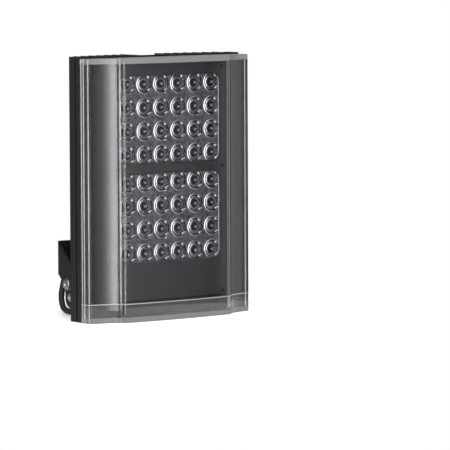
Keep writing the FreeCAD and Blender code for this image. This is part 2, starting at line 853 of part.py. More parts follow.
def make_lens_array(level):
    """A clear moulded tray whose 24 lenses each taper back to an emitter, with a dished front."""
    body = new_body(f"lens_array_{level}")
    name = level.capitalize()
    middle = f"{level}_array_middle"
    rim = sketch_on(body, "XZ_Plane", f"{name}Rim", "tray_seat")
    rounded_rectangle(
        rim,
        "-(tray_width / 2 + tray_rim)",
        "tray_width / 2 + tray_rim",
        f"{middle} - tray_height / 2 - tray_rim",
        f"{middle} + tray_height / 2 + tray_rim",
        "tray_corner + tray_rim",
    )
    pad(body, rim, "tray_rim_thickness", reverse=True)
    plate = sketch_on(body, "XZ_Plane", f"{name}Plate", "tray_front")
    rounded_rectangle(
        plate,
        "-tray_width / 2",
        "tray_width / 2",
        f"{middle} - tray_height / 2",
        f"{middle} + tray_height / 2",
        "tray_corner",
    )
    pad(body, plate, "tray_front - tray_seat", reverse=True)
    doc.recompute()

    tapers = []
    dishes = []
    for index, (x, z) in enumerate(lens_places(level)):
        taper = cone(
            f"{name}Taper{index}",
            "lens_rim_radius",
            "lens_root_radius",
            "tray_seat - lens_root_depth",
            x,
            "-tray_seat",
            z,
            **REARWARD,
        )
        dish = cone(
            f"{name}Dish{index}",
            "lens_dish_radius",
            "lens_dish_floor",
            "lens_dish_depth",
            x,
            "-tray_front",
            z,
            **REARWARD,
        )
        tapers.append(taper)
        dishes.append(dish)
    moulded = join(f"{name}Moulding", [body] + tapers)
    body.Label = f"{name}Tray"
    keep(f"lens_array_{level}", cut(f"{name}Lenses", moulded, group(f"{name}Dishes", dishes)))


def make_led_board(level):
    """The metal-core board behind one lens array, its thermal pad, its emitters and its screws."""
    name = level.capitalize()
    middle = f"{level}_array_middle"
    low = f"{middle} - board_height / 2"
    sheet_pad = box(
        f"{name}Pad", "board_width", "pad_thickness", "board_height",
        "0", "-(pedestal_depth + pad_thickness)", low,
    )
    board = box(
        f"{name}Board", "board_width", "board_thickness", "board_height",
        "0", "-(pedestal_depth + pad_thickness + board_thickness)", low,
    )
    front = "(pedestal_depth + pad_thickness + board_thickness)"
    bores = []
    screws = []
    for index, (x, z) in enumerate(board_screw_places(level)):
        bore = rod(
            f"{name}Bore{index}", "board_screw_radius + screw_gap",
            f"{front} + board_thickness", x, f"-({front} + board_thickness)", z, **REARWARD,
        )
        bores.append(bore)
        head = rod(
            f"{name}ScrewHead{index}", "board_screw_head", "board_head_height", x, f"-{front}", z, **FORWARD
        )
        shank = rod(
            f"{name}ScrewShank{index}", "board_screw_radius",
            "pad_thickness + board_thickness + board_screw_bite", x, f"-{front}", z, **REARWARD,
        )
        screws.append(join(f"{name}Screw{index}", [head, shank]))
    holes = group(f"{name}BoardBores", bores)
    keep(f"thermal_pad_{level}", cut(f"{name}PadSheet", sheet_pad, holes))
    keep(f"led_board_{level}", cut(f"{name}BoardPlate", board, holes))
    emitters = [
        box(
            f"{name}Emitter{index}", "emitter_width", "emitter_height", "emitter_width",
            x, f"-({front} + emitter_height)", f"{z} - emitter_width / 2",
        )
        for index, (x, z) in enumerate(lens_places(level))
    ]
    keep(f"led_emitters_{level}", group(f"{name}Emitters", emitters))
    return screws


def make_driver():
    """The driver board on its standoffs, with its coil, capacitors, switches and terminal block."""
    floor = "(pedestal_depth - driver_recess)"
    back = f"({floor} + standoff_height)"
    front = f"({back} + board_thickness)"
    middle = "(driver_bottom + driver_height / 2)"
    standoffs = [
        rod(
            f"Standoff{index}", "standoff_radius", "standoff_height",
            f"{across} * standoff_x", f"-{floor}", f"{middle} + {up} * standoff_z", **FORWARD,
        )
        for index, (across, up) in enumerate(((-1, -1), (-1, 1), (1, -1), (1, 1)))
    ]
    keep("driver_standoffs", group("Standoffs", standoffs))
    board = box(
        "DriverPlate", "driver_width", "board_thickness", "driver_height", "0", f"-{front}", "driver_bottom"
    )
    keep("driver_board", board)
    ring = rod("CoilBody", "coil_radius", "coil_height", "0", f"-{front}", middle, **FORWARD)
    bore = rod(
        "CoilBore", "coil_bore", "2 * coil_height", "0", f"-{back}", middle, **FORWARD
    )
    keep("driver_inductor", cut("Coil", ring, bore))
    capacitors = [
        rod(
            f"Capacitor{index}", "capacitor_radius", "capacitor_length",
            f"{side} * 2 * coil_radius - capacitor_length / 2", f"-({front} + capacitor_radius)",
            f"{middle} + {up} * (capacitor_radius + capacitor_gap)", **RIGHTWARD,
        )
        for index, (side, up) in enumerate(((-1, -1), (-1, 1)))
    ]
    keep("driver_capacitors", group("Capacitors", capacitors))
    chips = [
        box(
            f"Chip{index}", "driver_chip_width", "driver_chip_height", "driver_chip_width",
            f"2 * coil_radius + {index} * (driver_chip_width + driver_chip_gap)",
            f"-({front} + driver_chip_height)", f"{middle} - driver_chip_width / 2",
        )
        for index in range(2)
    ]
    keep("driver_switches", group("Chips", chips))
    block_x = "-(driver_width / 2 - terminal_width / 2 - 2 * standoff_radius - board_thickness)"
    block = box(
        "TerminalBody", "terminal_width", "terminal_depth", "terminal_height",
        block_x, f"-({front} + terminal_depth)", f"{middle} - terminal_height / 2",
    )
    mouths = [
        rod(
            f"TerminalMouth{index}", "terminal_hole", "terminal_depth / 2",
            f"{block_x} + {index - 1} * terminal_width / 3", f"-({front} + terminal_depth)", middle, **REARWARD,
        )
        for index in range(3)
    ]
    keep("terminal_block", cut("TerminalBlock", block, group("TerminalMouths", mouths)))


def countersunk_screws(name, height, upward):
    """The screws that hold the cover, or the end cap, to the housing."""
    turn = {} if upward else DOWNWARD
    way = "+" if upward else "-"
    screws = []
    for index, across in enumerate(("-cover_screw_spread", "0", "cover_screw_spread")):
        head = cone(
            f"{name}Head{index}", "cover_screw_head", "cover_screw_radius", "cover_head_height",
            across, "-cover_screw_depth", height, **turn,
        )
        shank = rod(
            f"{name}Shank{index}", "cover_screw_radius", "cover_wall + cover_screw_length - cover_head_height",
            across, "-cover_screw_depth", f"{height} {way} cover_head_height", **turn,
        )
        screws.append(join(f"{name}{index}", [head, shank]))
    return group(name, screws)


def hexagon(sketch, x, y, flats):
    """A hexagon with two corners on the sketch's horizontal line through its middle."""
    corner = f"({flats}) / sqrt(3)"
    steps = ((2, 0), (1, 1), (-1, 1), (-2, 0), (-1, -1), (1, -1))
    outline(
        sketch,
        [(f"({x}) + {across} * {corner} / 2", f"({y}) + {up} * ({flats}) / 2") for across, up in steps],
    )


def make_gland():
    """The cable gland in the middle channel: body, rubber insert and dome nut."""
    body = new_body("gland_body")
    face = "-gland_boss_face"
    spigot = sketch_on(body, "XZ_Plane", "GlandSpigot", face)
    circle(spigot, "0", "gland_height", "gland_thread_radius")
    circle(spigot, "0", "gland_height", "gland_bore")
    pad(body, spigot, "gland_boss_face + pedestal_depth - wire_groove_depth / 2")
    flats = sketch_on(body, "XZ_Plane", "GlandHex", face)
    hexagon(flats, "0", "gland_height", "gland_hex_flats")
    circle(flats, "0", "gland_height", "gland_bore")
    pad(body, flats, "gland_hex_thickness", reverse=True)
    neck = sketch_on(body, "XZ_Plane", "GlandNeck", "-(gland_boss_face + gland_hex_thickness)")
    circle(neck, "0", "gland_height", "gland_neck_radius")
    circle(neck, "0", "gland_height", "gland_bore")
    pad(body, neck, "gland_neck_length", reverse=True)

    start = "(gland_boss_face + gland_hex_thickness)"
    nut = new_body("gland_nut")
    profile = sketch_on(nut, "YZ_Plane", "NutProfile")
    outline(
        profile,
        [
            (f"{start} + slide_gap", "gland_height + gland_neck_radius + gland_bore_gap"),
            (f"{start} + slide_gap", "gland_height + nut_radius"),
            (f"{start} + nut_skirt", "gland_height + nut_radius", "2 * nut_radius", -1),
            (f"{start} + nut_length", "gland_height + nut_mouth + nut_lip"),
            (f"{start} + nut_length", "gland_height + nut_mouth"),
            (f"{start} + gland_neck_length + gland_bore_gap", "gland_height + nut_mouth"),
            (
                f"{start} + gland_neck_length + gland_bore_gap",
                "gland_height + gland_neck_radius + gland_bore_gap",
            ),
        ],
    )
    dome = nut.newObject("PartDesign::Revolution", "NutDome")
    dome.Profile = profile
    axis = sketch_on(nut, "YZ_Plane", "NutAxis")
    dome.ReferenceAxis = turning_axis(axis, ("0", "gland_height"), ("nut_length", "gland_height"))
    dome.Angle = 360.0

    insert = new_body("gland_seal")
    sleeve = sketch_on(insert, "XZ_Plane", "InsertSleeve", f"-({start} + gland_neck_length / 2)")
    circle(sleeve, "0", "gland_height", "nut_mouth - gland_bore_gap")
    circle(sleeve, "0", "gland_height", "lead_diameter / 4")
    pad(insert, sleeve, "nut_length - gland_neck_length / 2", reverse=True)


def make_ear(side):
    """A flat ear on the inner face of the last fin, with the pivot hole in its rounded corner."""
    hand = "right" if side > 0 else "left"
    body = new_body(f"{hand}_ear")
    start = SEAT_INSIDE if side > 0 else f"-{SEAT_INSIDE}"
    sketch = sketch_on(body, "YZ_Plane", f"{hand.capitalize()}EarPlate", start)
    ear_outline(sketch, "ear_front")
    circle(sketch, PIVOT_Y, PIVOT_Z, "pivot_radius + pivot_gap")
    for y, z in EAR_BOLTS:
        circle(sketch, y, z, "ear_bolt_radius + thread_gap")
    pad(body, sketch, "ear_thickness", reverse=side > 0)


def button_bolt(name, side, radius, head, head_height, length, x, y, z):
    """A bolt whose domed head has its seat at x and whose shank runs towards the middle."""
    outward = RIGHTWARD if side > 0 else LEFTWARD
    inward = LEFTWARD if side > 0 else RIGHTWARD
    sign = "" if side > 0 else "-"
    rim_height = f"{head_height} * button_rim_share"
    crown_height = f"{head_height} * (1 - button_rim_share)"
    crown_start = f"{sign}(({x}) + {rim_height})"
    rim = rod(f"{name}Rim", head, rim_height, f"{sign}({x})", y, z, **outward)
    crown = cone(
        f"{name}Crown", head, f"{head} * button_crown_share", crown_height, crown_start, y, z, **outward
    )
    shank = rod(f"{name}Shank", radius, length, f"{sign}({x})", y, z, **inward)
    whole = join(f"{name}Whole", [rim, crown, shank])
    socket = rod(
        f"{name}Socket", f"{radius} * socket_width_share", f"{head_height} * socket_depth_share",
        f"{sign}(({x}) + {head_height})", y, z, **inward,
    )
    return cut(name, whole, socket)


def hex_nut(name, side, flats, bore, thickness, x, y, z):
    """A nut whose outer face is at x."""
    sign = "" if side > 0 else "-"
    body = doc.addObject("PartDesign::Body", name)
    sketch = sketch_on(body, "YZ_Plane", f"{name}Section", f"{sign}({x})")
    hexagon(sketch, y, z, flats)
    circle(sketch, y, z, bore)
    pad(body, sketch, thickness, reverse=side > 0)
    return body


def washer(name, side, radius, bore, thickness, x, y, z):
    """A washer whose inner face is at x."""
    sign = "" if side > 0 else "-"
    outward = RIGHTWARD if side > 0 else LEFTWARD
    disc = rod(f"{name}Disc", radius, thickness, f"{sign}({x})", y, z, **outward)
    hole = rod(f"{name}Hole", bore, f"3 * {thickness}", f"{sign}(({x}) - {thickness})", y, z, **outward)
    return cut(name, disc, hole)


ARM_INSIDE = f"({SEAT_OUTSIDE} + 2 * slide_gap + friction_washer)"
ARM_OUTSIDE = f"({ARM_INSIDE} + bracket_gauge)"
HEAD_SEAT = f"({ARM_OUTSIDE} + 2 * slide_gap + pivot_washer)"
NUT_FACE = f"({SEAT_INSIDE} - ear_thickness)"


def make_pivots():
    """The tilt pivots and the ears' own bolts, on both sides."""
    bolts, nuts, thin, thick, ear_bolts, ear_nuts = [], [], [], [], [], []
    for side in (1, -1):
        hand = "Right" if side > 0 else "Left"
        reach = f"{HEAD_SEAT} - {NUT_FACE} + pivot_nut_thickness + slide_gap"
        bolts.append(
            button_bolt(
                f"{hand}Pivot", side, "pivot_radius", "pivot_head", "pivot_head_height", reach,
                HEAD_SEAT, PIVOT_Y, PIVOT_Z,
            )
        )
        nuts.append(
            hex_nut(
                f"{hand}PivotNut", side, "pivot_nut_flats", "pivot_radius + thread_gap", "pivot_nut_thickness",
                NUT_FACE, PIVOT_Y, PIVOT_Z,
            )
        )
        thin.append(
            washer(
                f"{hand}Friction", side, "friction_washer_radius", "pivot_radius + pivot_gap",
                "friction_washer", f"{SEAT_OUTSIDE} + slide_gap", PIVOT_Y, PIVOT_Z,
            )
        )
        thick.append(
            washer(
                f"{hand}Washer", side, "pivot_washer_radius", "pivot_radius + pivot_gap",
                "pivot_washer", f"{ARM_OUTSIDE} + 2 * slide_gap", PIVOT_Y, PIVOT_Z,
            )
        )
        for index, (y, z) in enumerate(EAR_BOLTS):
            length = "fin_thickness + ear_thickness + ear_nut_thickness"
            ear_bolts.append(
                button_bolt(
                    f"{hand}EarBolt{index}", side, "ear_bolt_radius", "ear_bolt_head",
                    "ear_bolt_head_height", length, SEAT_OUTSIDE, y, z,
                )
            )
            ear_nuts.append(
                hex_nut(
                    f"{hand}EarNut{index}", side, "ear_nut_flats",
                    "ear_bolt_radius + thread_gap", "ear_nut_thickness", NUT_FACE, y, z,
                )
            )
    keep("pivot_bolts", group("PivotBolts", bolts))
    keep("pivot_nuts", group("PivotNuts", nuts))
    keep("friction_washers", group("FrictionWashers", thin))
    keep("pivot_washers", group("PivotWashers", thick))
    keep("ear_bolts", group("EarBolts", ear_bolts))
    keep("ear_nuts", group("EarNuts", ear_nuts))


def make_mounting_bracket():
    """The folded U bracket: a wall plate and two arms, each with a brow, a nose and a pivot tab."""
    body = new_body("mounting_bracket")
    section = sketch_on(body, "XY_Plane", "BracketSection", "bracket_bottom")
    inner_bend = "(bracket_bend - bracket_gauge)"
    fold = "(bracket_rear - bracket_bend)"
    half = [
        (f"{ARM_INSIDE} - {inner_bend}", "bracket_rear - bracket_gauge", inner_bend, -1),
        (ARM_INSIDE, fold),
        (ARM_OUTSIDE, fold, "bracket_bend", 1),
        (f"{ARM_OUTSIDE} - bracket_bend", "bracket_rear"),
    ]
    outline(section, mirrored_outline(half))
    pad(body, section, "bracket_top - bracket_bottom")

    run = f"({fold} - arm_front)"
    rise = "(arm_brow - arm_low)"
    slope = f"sqrt({run} * {run} + {rise} * {rise})"
    nose_radius = f"arm_nose * {rise} / ({slope} + {run})"
    back = f"({fold} - ({PIVOT_Y}))"
    up = f"(bracket_bottom - ({PIVOT_Z}))"
    heel = f"(atan({up} / {back}) - acos(arm_tab / sqrt({back} * {back} + {up} * {up})))"
    for side in (1, -1):
        hand = "Right" if side > 0 else "Left"
        start = ARM_INSIDE if side > 0 else f"-{ARM_INSIDE}"
        arm = sketch_on(body, "YZ_Plane", f"{hand}Arm", start)
        outline(
            arm,
            [
                (fold, "bracket_bottom"),
                (fold, "arm_brow"),
                (
                    f"arm_front + arm_nose * {run} / {slope}",
                    f"arm_low + arm_nose * {rise} / {slope}",
                    nose_radius,
                    1,
                ),
                ("arm_front + arm_nose", "arm_low"),
                (f"{PIVOT_Y} - arm_tab", "arm_low"),
                (f"{PIVOT_Y} - arm_tab", PIVOT_Z, "arm_tab", 1),
                (f"{PIVOT_Y} + arm_tab * cos{heel}", f"{PIVOT_Z} + arm_tab * sin{heel}"),
            ],
        )
        pad(body, arm, "bracket_gauge", reverse=side < 0)

    holes = sketch_on(body, "XZ_Plane", "PlateHoles", "-bracket_rear")
    middle = "(bracket_bottom + bracket_top) / 2"
    for x in ("-slot_pitch / 2", "slot_pitch / 2"):
        circle(holes, x, middle, "slot_radius")
    circle(holes, "0", middle, "centre_hole")
    pocket(body, holes, "2 * bracket_gauge", both=True)
    pivots = sketch_on(body, "YZ_Plane", "ArmHoles")
    circle(pivots, PIVOT_Y, PIVOT_Z, "pivot_radius + pivot_gap")
    pocket(body, pivots, f"2 * ({ARM_OUTSIDE} + bracket_gauge)", both=True)


def make_power_lead():
    """The lead: a tube of straight runs and tangent arcs, then a coil as one ring of its outer shape."""
    points = [FreeCAD.Vector(*point) for point in LEAD_ROUTE]
    radius = size("lead_diameter") / 2
    edges = []
    here = points[0]
    length = 0.0
    for before, corner, after in zip(points, points[1:], points[2:]):
        come = (corner - before).normalize()
        leave = (after - corner).normalize()
        turn = come.getAngle(leave)
        shorter = min(before.distanceToPoint(corner), corner.distanceToPoint(after))
        setback = 0.45 * shorter
        bend = setback / math.tan(turn / 2)
        print(f"lead bend {bend:.1f} mm, turn {math.degrees(turn):.0f} degrees")
        start = corner - come * setback
        end = corner + leave * setback
        inward = (leave - come).normalize()
        middle = corner + inward * (bend / math.cos(turn / 2) - bend)
        edges.append(Part.LineSegment(here, start).toShape())
        edges.append(Part.Arc(start, middle, end).toShape())
        length += here.distanceToPoint(start) + bend * turn
        here = end
    edges.append(Part.LineSegment(here, points[-1]).toShape())
    length += here.distanceToPoint(points[-1])
    path = Part.Wire(edges)
    ring = Part.Wire(Part.makeCircle(radius, points[0], points[1] - points[0]))
    tube = path.makePipeShell([ring], True, True)
    print(f"lead tube {length:.1f} mm, volume ratio {tube.Volume / (math.pi * radius ** 2 * length):.4f}")
    lead = doc.addObject("Part::Feature", "Lead")
    lead.Shape = tube
    lead.Placement = FreeCAD.Placement()
    keep("power_lead", lead)

    body = new_body("lead_coil")
    profile = sketch_on(body, "XZ_Plane", "CoilProfile", "-lead_coil_y")
    reach = "lead_coil_across * lead_diameter / 2"
    rounded_rectangle(
        profile,
        f"lead_coil_x + lead_coil_turn / 2 - {reach}",
        f"lead_coil_x + lead_coil_turn / 2 + {reach}",
        "0",
        "lead_coil_layers * lead_diameter",
        "lead_diameter / 2",
    )
    axis = sketch_on(body, "XZ_Plane", "CoilAxis", "-lead_coil_y")
    coil = body.newObject("PartDesign::Revolution", "CoilRing")
    coil.Profile = profile
    coil.ReferenceAxis = turning_axis(axis, ("lead_coil_x", "0"), ("lead_coil_x", "lead_diameter"))
    coil.Angle = 360.0


def check_and_write():
    """Stop on any failed object or bad shape, then write one file for each sub-part."""
    doc.recompute()
    for thing in doc.Objects:
        if "Invalid" in thing.State or "Error" in thing.State:
            raise RuntimeError(f"{thing.Label} did not build: {thing.State}")
    os.makedirs("parts", exist_ok=True)
    for name, thing in parts.items():
        if thing.Shape.isNull() or not thing.Shape.isValid():
            raise RuntimeError(f"{name} has no valid shape")
    for name, thing in parts.items():
        thing.Shape.exportStep(f"parts/{name}.step")
        print(f"{name}: {len(thing.Shape.Solids)} solids, {thing.Shape.Volume:.0f} mm3")


make_heatsink_housing()
make_front_cover()
make_lower_end_cap()
make_seam_seal()
make_cover_seal()
make_bezel_frame()
make_bezel_screws()
board_screws = []
for array in ("upper", "lower"):
    make_lens_array(array)
    board_screws += make_led_board(array)
keep("board_screws", group("BoardScrews", board_screws))
make_driver()
keep("cover_screws", countersunk_screws("CoverScrews", "housing_height", False))
keep("end_cap_screws", countersunk_screws("EndCapScrews", "0", True))
make_gland()
for hand in (1, -1):
    make_ear(hand)
make_pivots()
make_mounting_bracket()
make_power_lead()
check_and_write()
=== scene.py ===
import math

import bmesh
import bpy
from mathutils import Matrix, Vector


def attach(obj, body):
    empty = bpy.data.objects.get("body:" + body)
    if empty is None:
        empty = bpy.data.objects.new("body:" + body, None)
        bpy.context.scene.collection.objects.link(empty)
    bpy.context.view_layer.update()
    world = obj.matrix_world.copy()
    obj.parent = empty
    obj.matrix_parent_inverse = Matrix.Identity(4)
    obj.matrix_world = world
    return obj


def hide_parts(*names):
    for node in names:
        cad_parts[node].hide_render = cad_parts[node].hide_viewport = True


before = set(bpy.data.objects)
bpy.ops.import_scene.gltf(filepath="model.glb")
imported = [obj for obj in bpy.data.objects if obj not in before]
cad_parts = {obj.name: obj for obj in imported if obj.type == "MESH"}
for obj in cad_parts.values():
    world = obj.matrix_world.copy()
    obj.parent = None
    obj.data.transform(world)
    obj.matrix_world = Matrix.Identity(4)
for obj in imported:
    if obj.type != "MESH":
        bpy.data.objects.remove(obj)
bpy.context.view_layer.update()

# An infrared illuminator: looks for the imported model. X to the right, Y to the rear, Z up.
# Sizes of pieces and the floor are in millimetres, those of the camera and the light in metres.

MM = 0.001


# Helpers for objects and meshes

# Distances in metres within which points become one
MERGE_DISTANCE = 1e-7
WELD_DISTANCE = 1e-6
BEVEL_SEGMENTS = 2
BEVEL_ANGLE = math.radians(30.0)
# Height of the ribs of a ribbed ring, as a share of its radius
RIB_SHARE = 0.03


def add_object(name, data):
    """A new object in the scene."""
    thing = bpy.data.objects.new(name, data)
    bpy.context.collection.objects.link(thing)
    return thing


def direction(azimuth, elevation):
    """A unit vector away from the object, by two angles in radians; azimuth 0 is in front."""
    return Vector(
        (
            math.sin(azimuth) * math.cos(elevation),
            -math.cos(azimuth) * math.cos(elevation),
            math.sin(elevation),
        )
    )


class Surface:
    """Points in millimetres, the faces between them and the look of each face, gathered for a mesh."""

    def __init__(self):
        self.points, self.faces, self.looks = [], [], []

    def ring(self, points):
        """Add points and give their numbers."""
        first = len(self.points)
        self.points.extend(points)
        return range(first, len(self.points))

    def face(self, corners, look=0):
        """Add a face. Corners that repeat are left out."""
        self.faces.append(list(dict.fromkeys(corners)))
        self.looks.append(look)

    def strip(self, low, high):
        """Add the faces between two open rows of points."""
        for step in range(len(low) - 1):
            self.face([low[step], low[step + 1], high[step + 1], high[step]])

    def band(self, outer, inner, looks=None, forward=True):
        """Add the faces between two closed rings, each of many points or of a single one."""
        count = max(len(outer), len(inner))
        looks = looks or [0] * count
        for step in range(count):
            after = (step + 1) % count
            corners = [outer[step % len(outer)], outer[after % len(outer)]]
            corners += [inner[after % len(inner)], inner[step % len(inner)]]
            self.face(corners if forward else corners[::-1], looks[step])

    def mesh(self, name):
        """The object that the points and faces make."""
        data = bpy.data.meshes.new(name)
        data.from_pydata([Vector(point) * MM for point in self.points], [], self.faces)
        data.update()
        data.shade_smooth()
        data.polygons.foreach_set("material_index", self.looks)
        return add_object(name, data)


def finished(name, surface):
    """An object from a surface, with doubled points merged and all faces turned outwards."""
    thing = surface.mesh(name)
    work = bmesh.new()
    work.from_mesh(thing.data)
    bmesh.ops.remove_doubles(work, verts=work.verts, dist=MERGE_DISTANCE)
    bmesh.ops.recalc_face_normals(work, faces=work.faces)
    work.to_mesh(thing.data)
    work.free()
    return thing


def bevel(thing, width):
    """Round the sharp edges and keep the flat faces flat."""
    weld = thing.modifiers.new("Weld", "WELD")
    weld.merge_threshold = WELD_DISTANCE
    rounding = thing.modifiers.new("Bevel", "BEVEL")
    rounding.width = width * MM
    rounding.segments = BEVEL_SEGMENTS
    rounding.limit_method = "ANGLE"
    rounding.angle_limit = BEVEL_ANGLE
    thing.modifiers.new("Weighted", "WEIGHTED_NORMAL")
    return thing


def circle(middle, side, other, reaches):
    """Points at even angles round a middle, each at its own reach."""
    for step, reach in enumerate(reaches):
        angle = 2.0 * math.pi * step / len(reaches)
        yield middle + (side * math.cos(angle) + other * math.sin(angle)) * reach


def ring_radius(radius, angle, flats, ribs):
    """The radius at an angle of a ring that is round, a polygon of that many flats, or ribbed."""
    if flats:
        sector = 2.0 * math.pi / flats
        return radius / math.cos((angle + sector / 2.0) % sector - sector / 2.0)
    if ribs:
        return radius * (1.0 + RIB_SHARE * (abs(math.sin(ribs * angle / 2.0)) - 0.5))
    return radius


def turned(name, profile, centre, axis, segments=48):
    """A closed surface of rings along an axis.

    A ring is (radius, distance along the axis), and may have its numbers of flats and ribs after them.
    """
    axis = Vector(axis).normalized()
    side = Vector((0, 0, 1)) if abs(axis.z) < 0.5 else Vector((1, 0, 0))
    other = axis.cross(side)
    angles = [2.0 * math.pi * step / segments for step in range(segments)]
    surface = Surface()
    rings = []
    for radius, along, *shape in profile:
        flats, ribs = shape or (0, 0)
        reaches = [ring_radius(radius, angle, flats, ribs) for angle in angles] if radius else [0.0]
        rings.append(surface.ring(circle(Vector(centre) + axis * along, side, other, reaches)))
    for lower, upper in zip(rings, rings[1:]):
        surface.band(lower, upper)
    return finished(name, surface)


def joined(name, things):
    """Several mesh objects as one."""
    work = bmesh.new()
    for thing in things:
        work.from_mesh(thing.data)
    data = bpy.data.meshes.new(name)
    work.to_mesh(data)
    work.free()
    data.shade_smooth()
    for thing in things:
        bpy.data.objects.remove(thing)
    return add_object(name, data)


def apply_modifiers(thing):
    """Turn what the modifiers make into the object's own mesh."""
    graph = bpy.context.evaluated_depsgraph_get()
    made = bpy.data.meshes.new_from_object(thing.evaluated_get(graph))
    thing.modifiers.clear()
    thing.data = made


# Camera

AZIMUTH = math.radians(-37.0)
ELEVATION = math.radians(4.83)
ROLL = math.radians(-0.24)
CAMERA_DISTANCE = 3.6
CAMERA_LENS = 298.7
SENSOR_WIDTH = 36.0
FARTHEST_SEEN = 100.0
AIM = Vector((0.0, 0.0041, 0.125))
# How far the middle of the frame lies to the right of the aim, and above it
AIM_RIGHT = 0.0641
AIM_UP = -0.0371


def make_camera():
    """The camera at the photograph's angle, with the object left of the middle of the frame."""
    right = Vector((math.cos(AZIMUTH), math.sin(AZIMUTH), 0.0))
    back = direction(AZIMUTH, ELEVATION)
    up = back.cross(right)
    centre = AIM + right * AIM_RIGHT + up * AIM_UP
    across = right * math.cos(ROLL) + up * math.sin(ROLL)
    upward = up * math.cos(ROLL) - right * math.sin(ROLL)
    data = bpy.data.cameras.new("Camera")
    data.lens = CAMERA_LENS
    data.sensor_width = SENSOR_WIDTH
    data.clip_end = FARTHEST_SEEN
    camera = add_object("Camera", data)
    turn = Matrix((across, upward, back)).transposed()
    camera.matrix_world = Matrix.Translation(centre + back * CAMERA_DISTANCE) @ turn.to_4x4()
    bpy.context.scene.camera = camera


make_camera()


# Lead

LEAD_DIAMETER = 6.0
# The way from the mouth of the gland to the start of the coil
LEAD_ROUTE = [
    (0.0, 30.0, 96.0),
    (0.0, 47.0, 96.0),
    (-5.0, 61.5, 93.0),
    (-14.0, 73.0, 86.5),
    (-25.0, 81.0, 77.5),
    (-36.0, 86.0, 65.0),
    (-45.0, 88.0, 51.5),
    (-51.5, 87.5, 38.5),
    (-56.5, 85.5, 27.5),
    (-61.8, 81.5, 14.5),
    (-65.0, 71.5, 3.5),
    (-61.0, 57.0, 3.0),
    (-51.0, 47.5, 3.0),
    (-37.0, 44.5, 3.0),
    (-22.5, 44.3, 3.0),
    (-8.0, 44.8, 3.0),
    (7.4, 46.2, 3.0),
    (23.6, 48.6, 3.0),
]
# The order of the curve, and how finely it is drawn round and along
LEAD_ORDER = 3
LEAD_ROUNDNESS = 6
LEAD_SMOOTHNESS = 8
COIL_CENTRE = (16.5, 87.0)
COIL_INNER = 27.0
# The middles of the coil's turns, counted in diameters beyond the inner turn and above the floor
COIL_RADII = [COIL_INNER + LEAD_DIAMETER * turns for turns in (2, 1, 0, 0, 1, 2)]
COIL_HEIGHTS = [LEAD_DIAMETER * turns for turns in (0.5, 0.5, 0.5, 1.5, 1.5, 1.5)]
COIL_STEPS = 16
COIL_START = math.radians(-79.5)
# Steps in which the lead moves over, or up, to its next turn
COIL_SHIFT = 4


def coil_points():
    """The coil: turns inwards on the floor, then outwards on top, each with its shift in one sector."""
    step = 2.0 * math.pi / COIL_STEPS
    bow = 1.0 / math.cos(step / 2.0)
    points = []
    for turn in range(len(COIL_RADII)):
        follow = min(turn + 1, len(COIL_RADII) - 1)
        for index in range(1, COIL_STEPS + 1):
            left = COIL_STEPS - index
            inward = max(0.0, (COIL_SHIFT - left) / COIL_SHIFT)
            climb = min(1.0, max(0.0, (2 * COIL_SHIFT - left) / COIL_SHIFT))
            radius = COIL_RADII[turn] + (COIL_RADII[follow] - COIL_RADII[turn]) * inward
            height = COIL_HEIGHTS[turn] + (COIL_HEIGHTS[follow] - COIL_HEIGHTS[turn]) * climb
            angle = COIL_START + (turn * COIL_STEPS + index) * step
            x = COIL_CENTRE[0] + radius * bow * math.cos(angle)
            y = COIL_CENTRE[1] + radius * bow * math.sin(angle)
            points.append((x, y, height))
    return points


def make_lead():
    """The lead on one smooth line from the gland to the end of its coil.

    Its thickness is set on its points, because Blender counts their radius in the curve's box.
    """
    curve = bpy.data.curves.new("power_lead_line", "CURVE")
    curve.dimensions = "3D"
    curve.bevel_depth = 1.0
    curve.bevel_resolution = LEAD_ROUNDNESS
    curve.resolution_u = LEAD_SMOOTHNESS
    curve.use_fill_caps = True
    spline = curve.splines.new("NURBS")
    points = LEAD_ROUTE + coil_points()
    spline.points.add(len(points) - 1)
    for place, point in zip(spline.points, points):
        place.co = (point[0] * MM, point[1] * MM, point[2] * MM, 1.0)
        place.radius = LEAD_DIAMETER / 2.0 * MM
    spline.order_u = LEAD_ORDER
    spline.use_endpoint_u = True
    lead = add_object("power_lead_line", curve)
    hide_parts("power_lead", "lead_coil")
    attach(lead, "lamp")
    return lead


def lead_line(lead):
    """Points along the middle of the lead, in millimetres."""
    thin = lead.data.copy()
    thin.bevel_depth = 0.0
    probe = bpy.data.objects.new("lead_probe", thin)
    line = bpy.data.meshes.new_from_object(probe)
    points = [vertex.co / MM for vertex in line.vertices]
    bpy.data.objects.remove(probe)
    return points


# Sleeve at the gland

SLEEVE_LENGTH = 24.0
SLEEVE_RADIUS = 4.25
SLEEVE_TAPER = 0.85
SLEEVE_BORE = 2.9
SLEEVE_OVERLAP = 1.5
SLEEVE_RIBS = 7
SLEEVE_GROOVE = 0.45
SLEEVE_SEGMENTS = 32
# Steps of a rib with the groove beside it, and how many of them are the rib
RIB_STEPS = 8
RIB_TOP = 5


def sleeve_profile():
    """Rings of the sleeve as radius and distance along the lead. Its grooves get shallower to the tip."""
    steps = SLEEVE_RIBS * RIB_STEPS
    profile = [(SLEEVE_BORE, 0.0)]
    for step in range(steps + 1):
        share = step / steps
        groove = 0.0 if step % RIB_STEPS < RIB_TOP else SLEEVE_GROOVE * (1.0 - 0.5 * share)
        profile.append((SLEEVE_RADIUS - SLEEVE_TAPER * share - groove, share * SLEEVE_LENGTH))
    profile.append((SLEEVE_BORE, SLEEVE_LENGTH))
    return profile


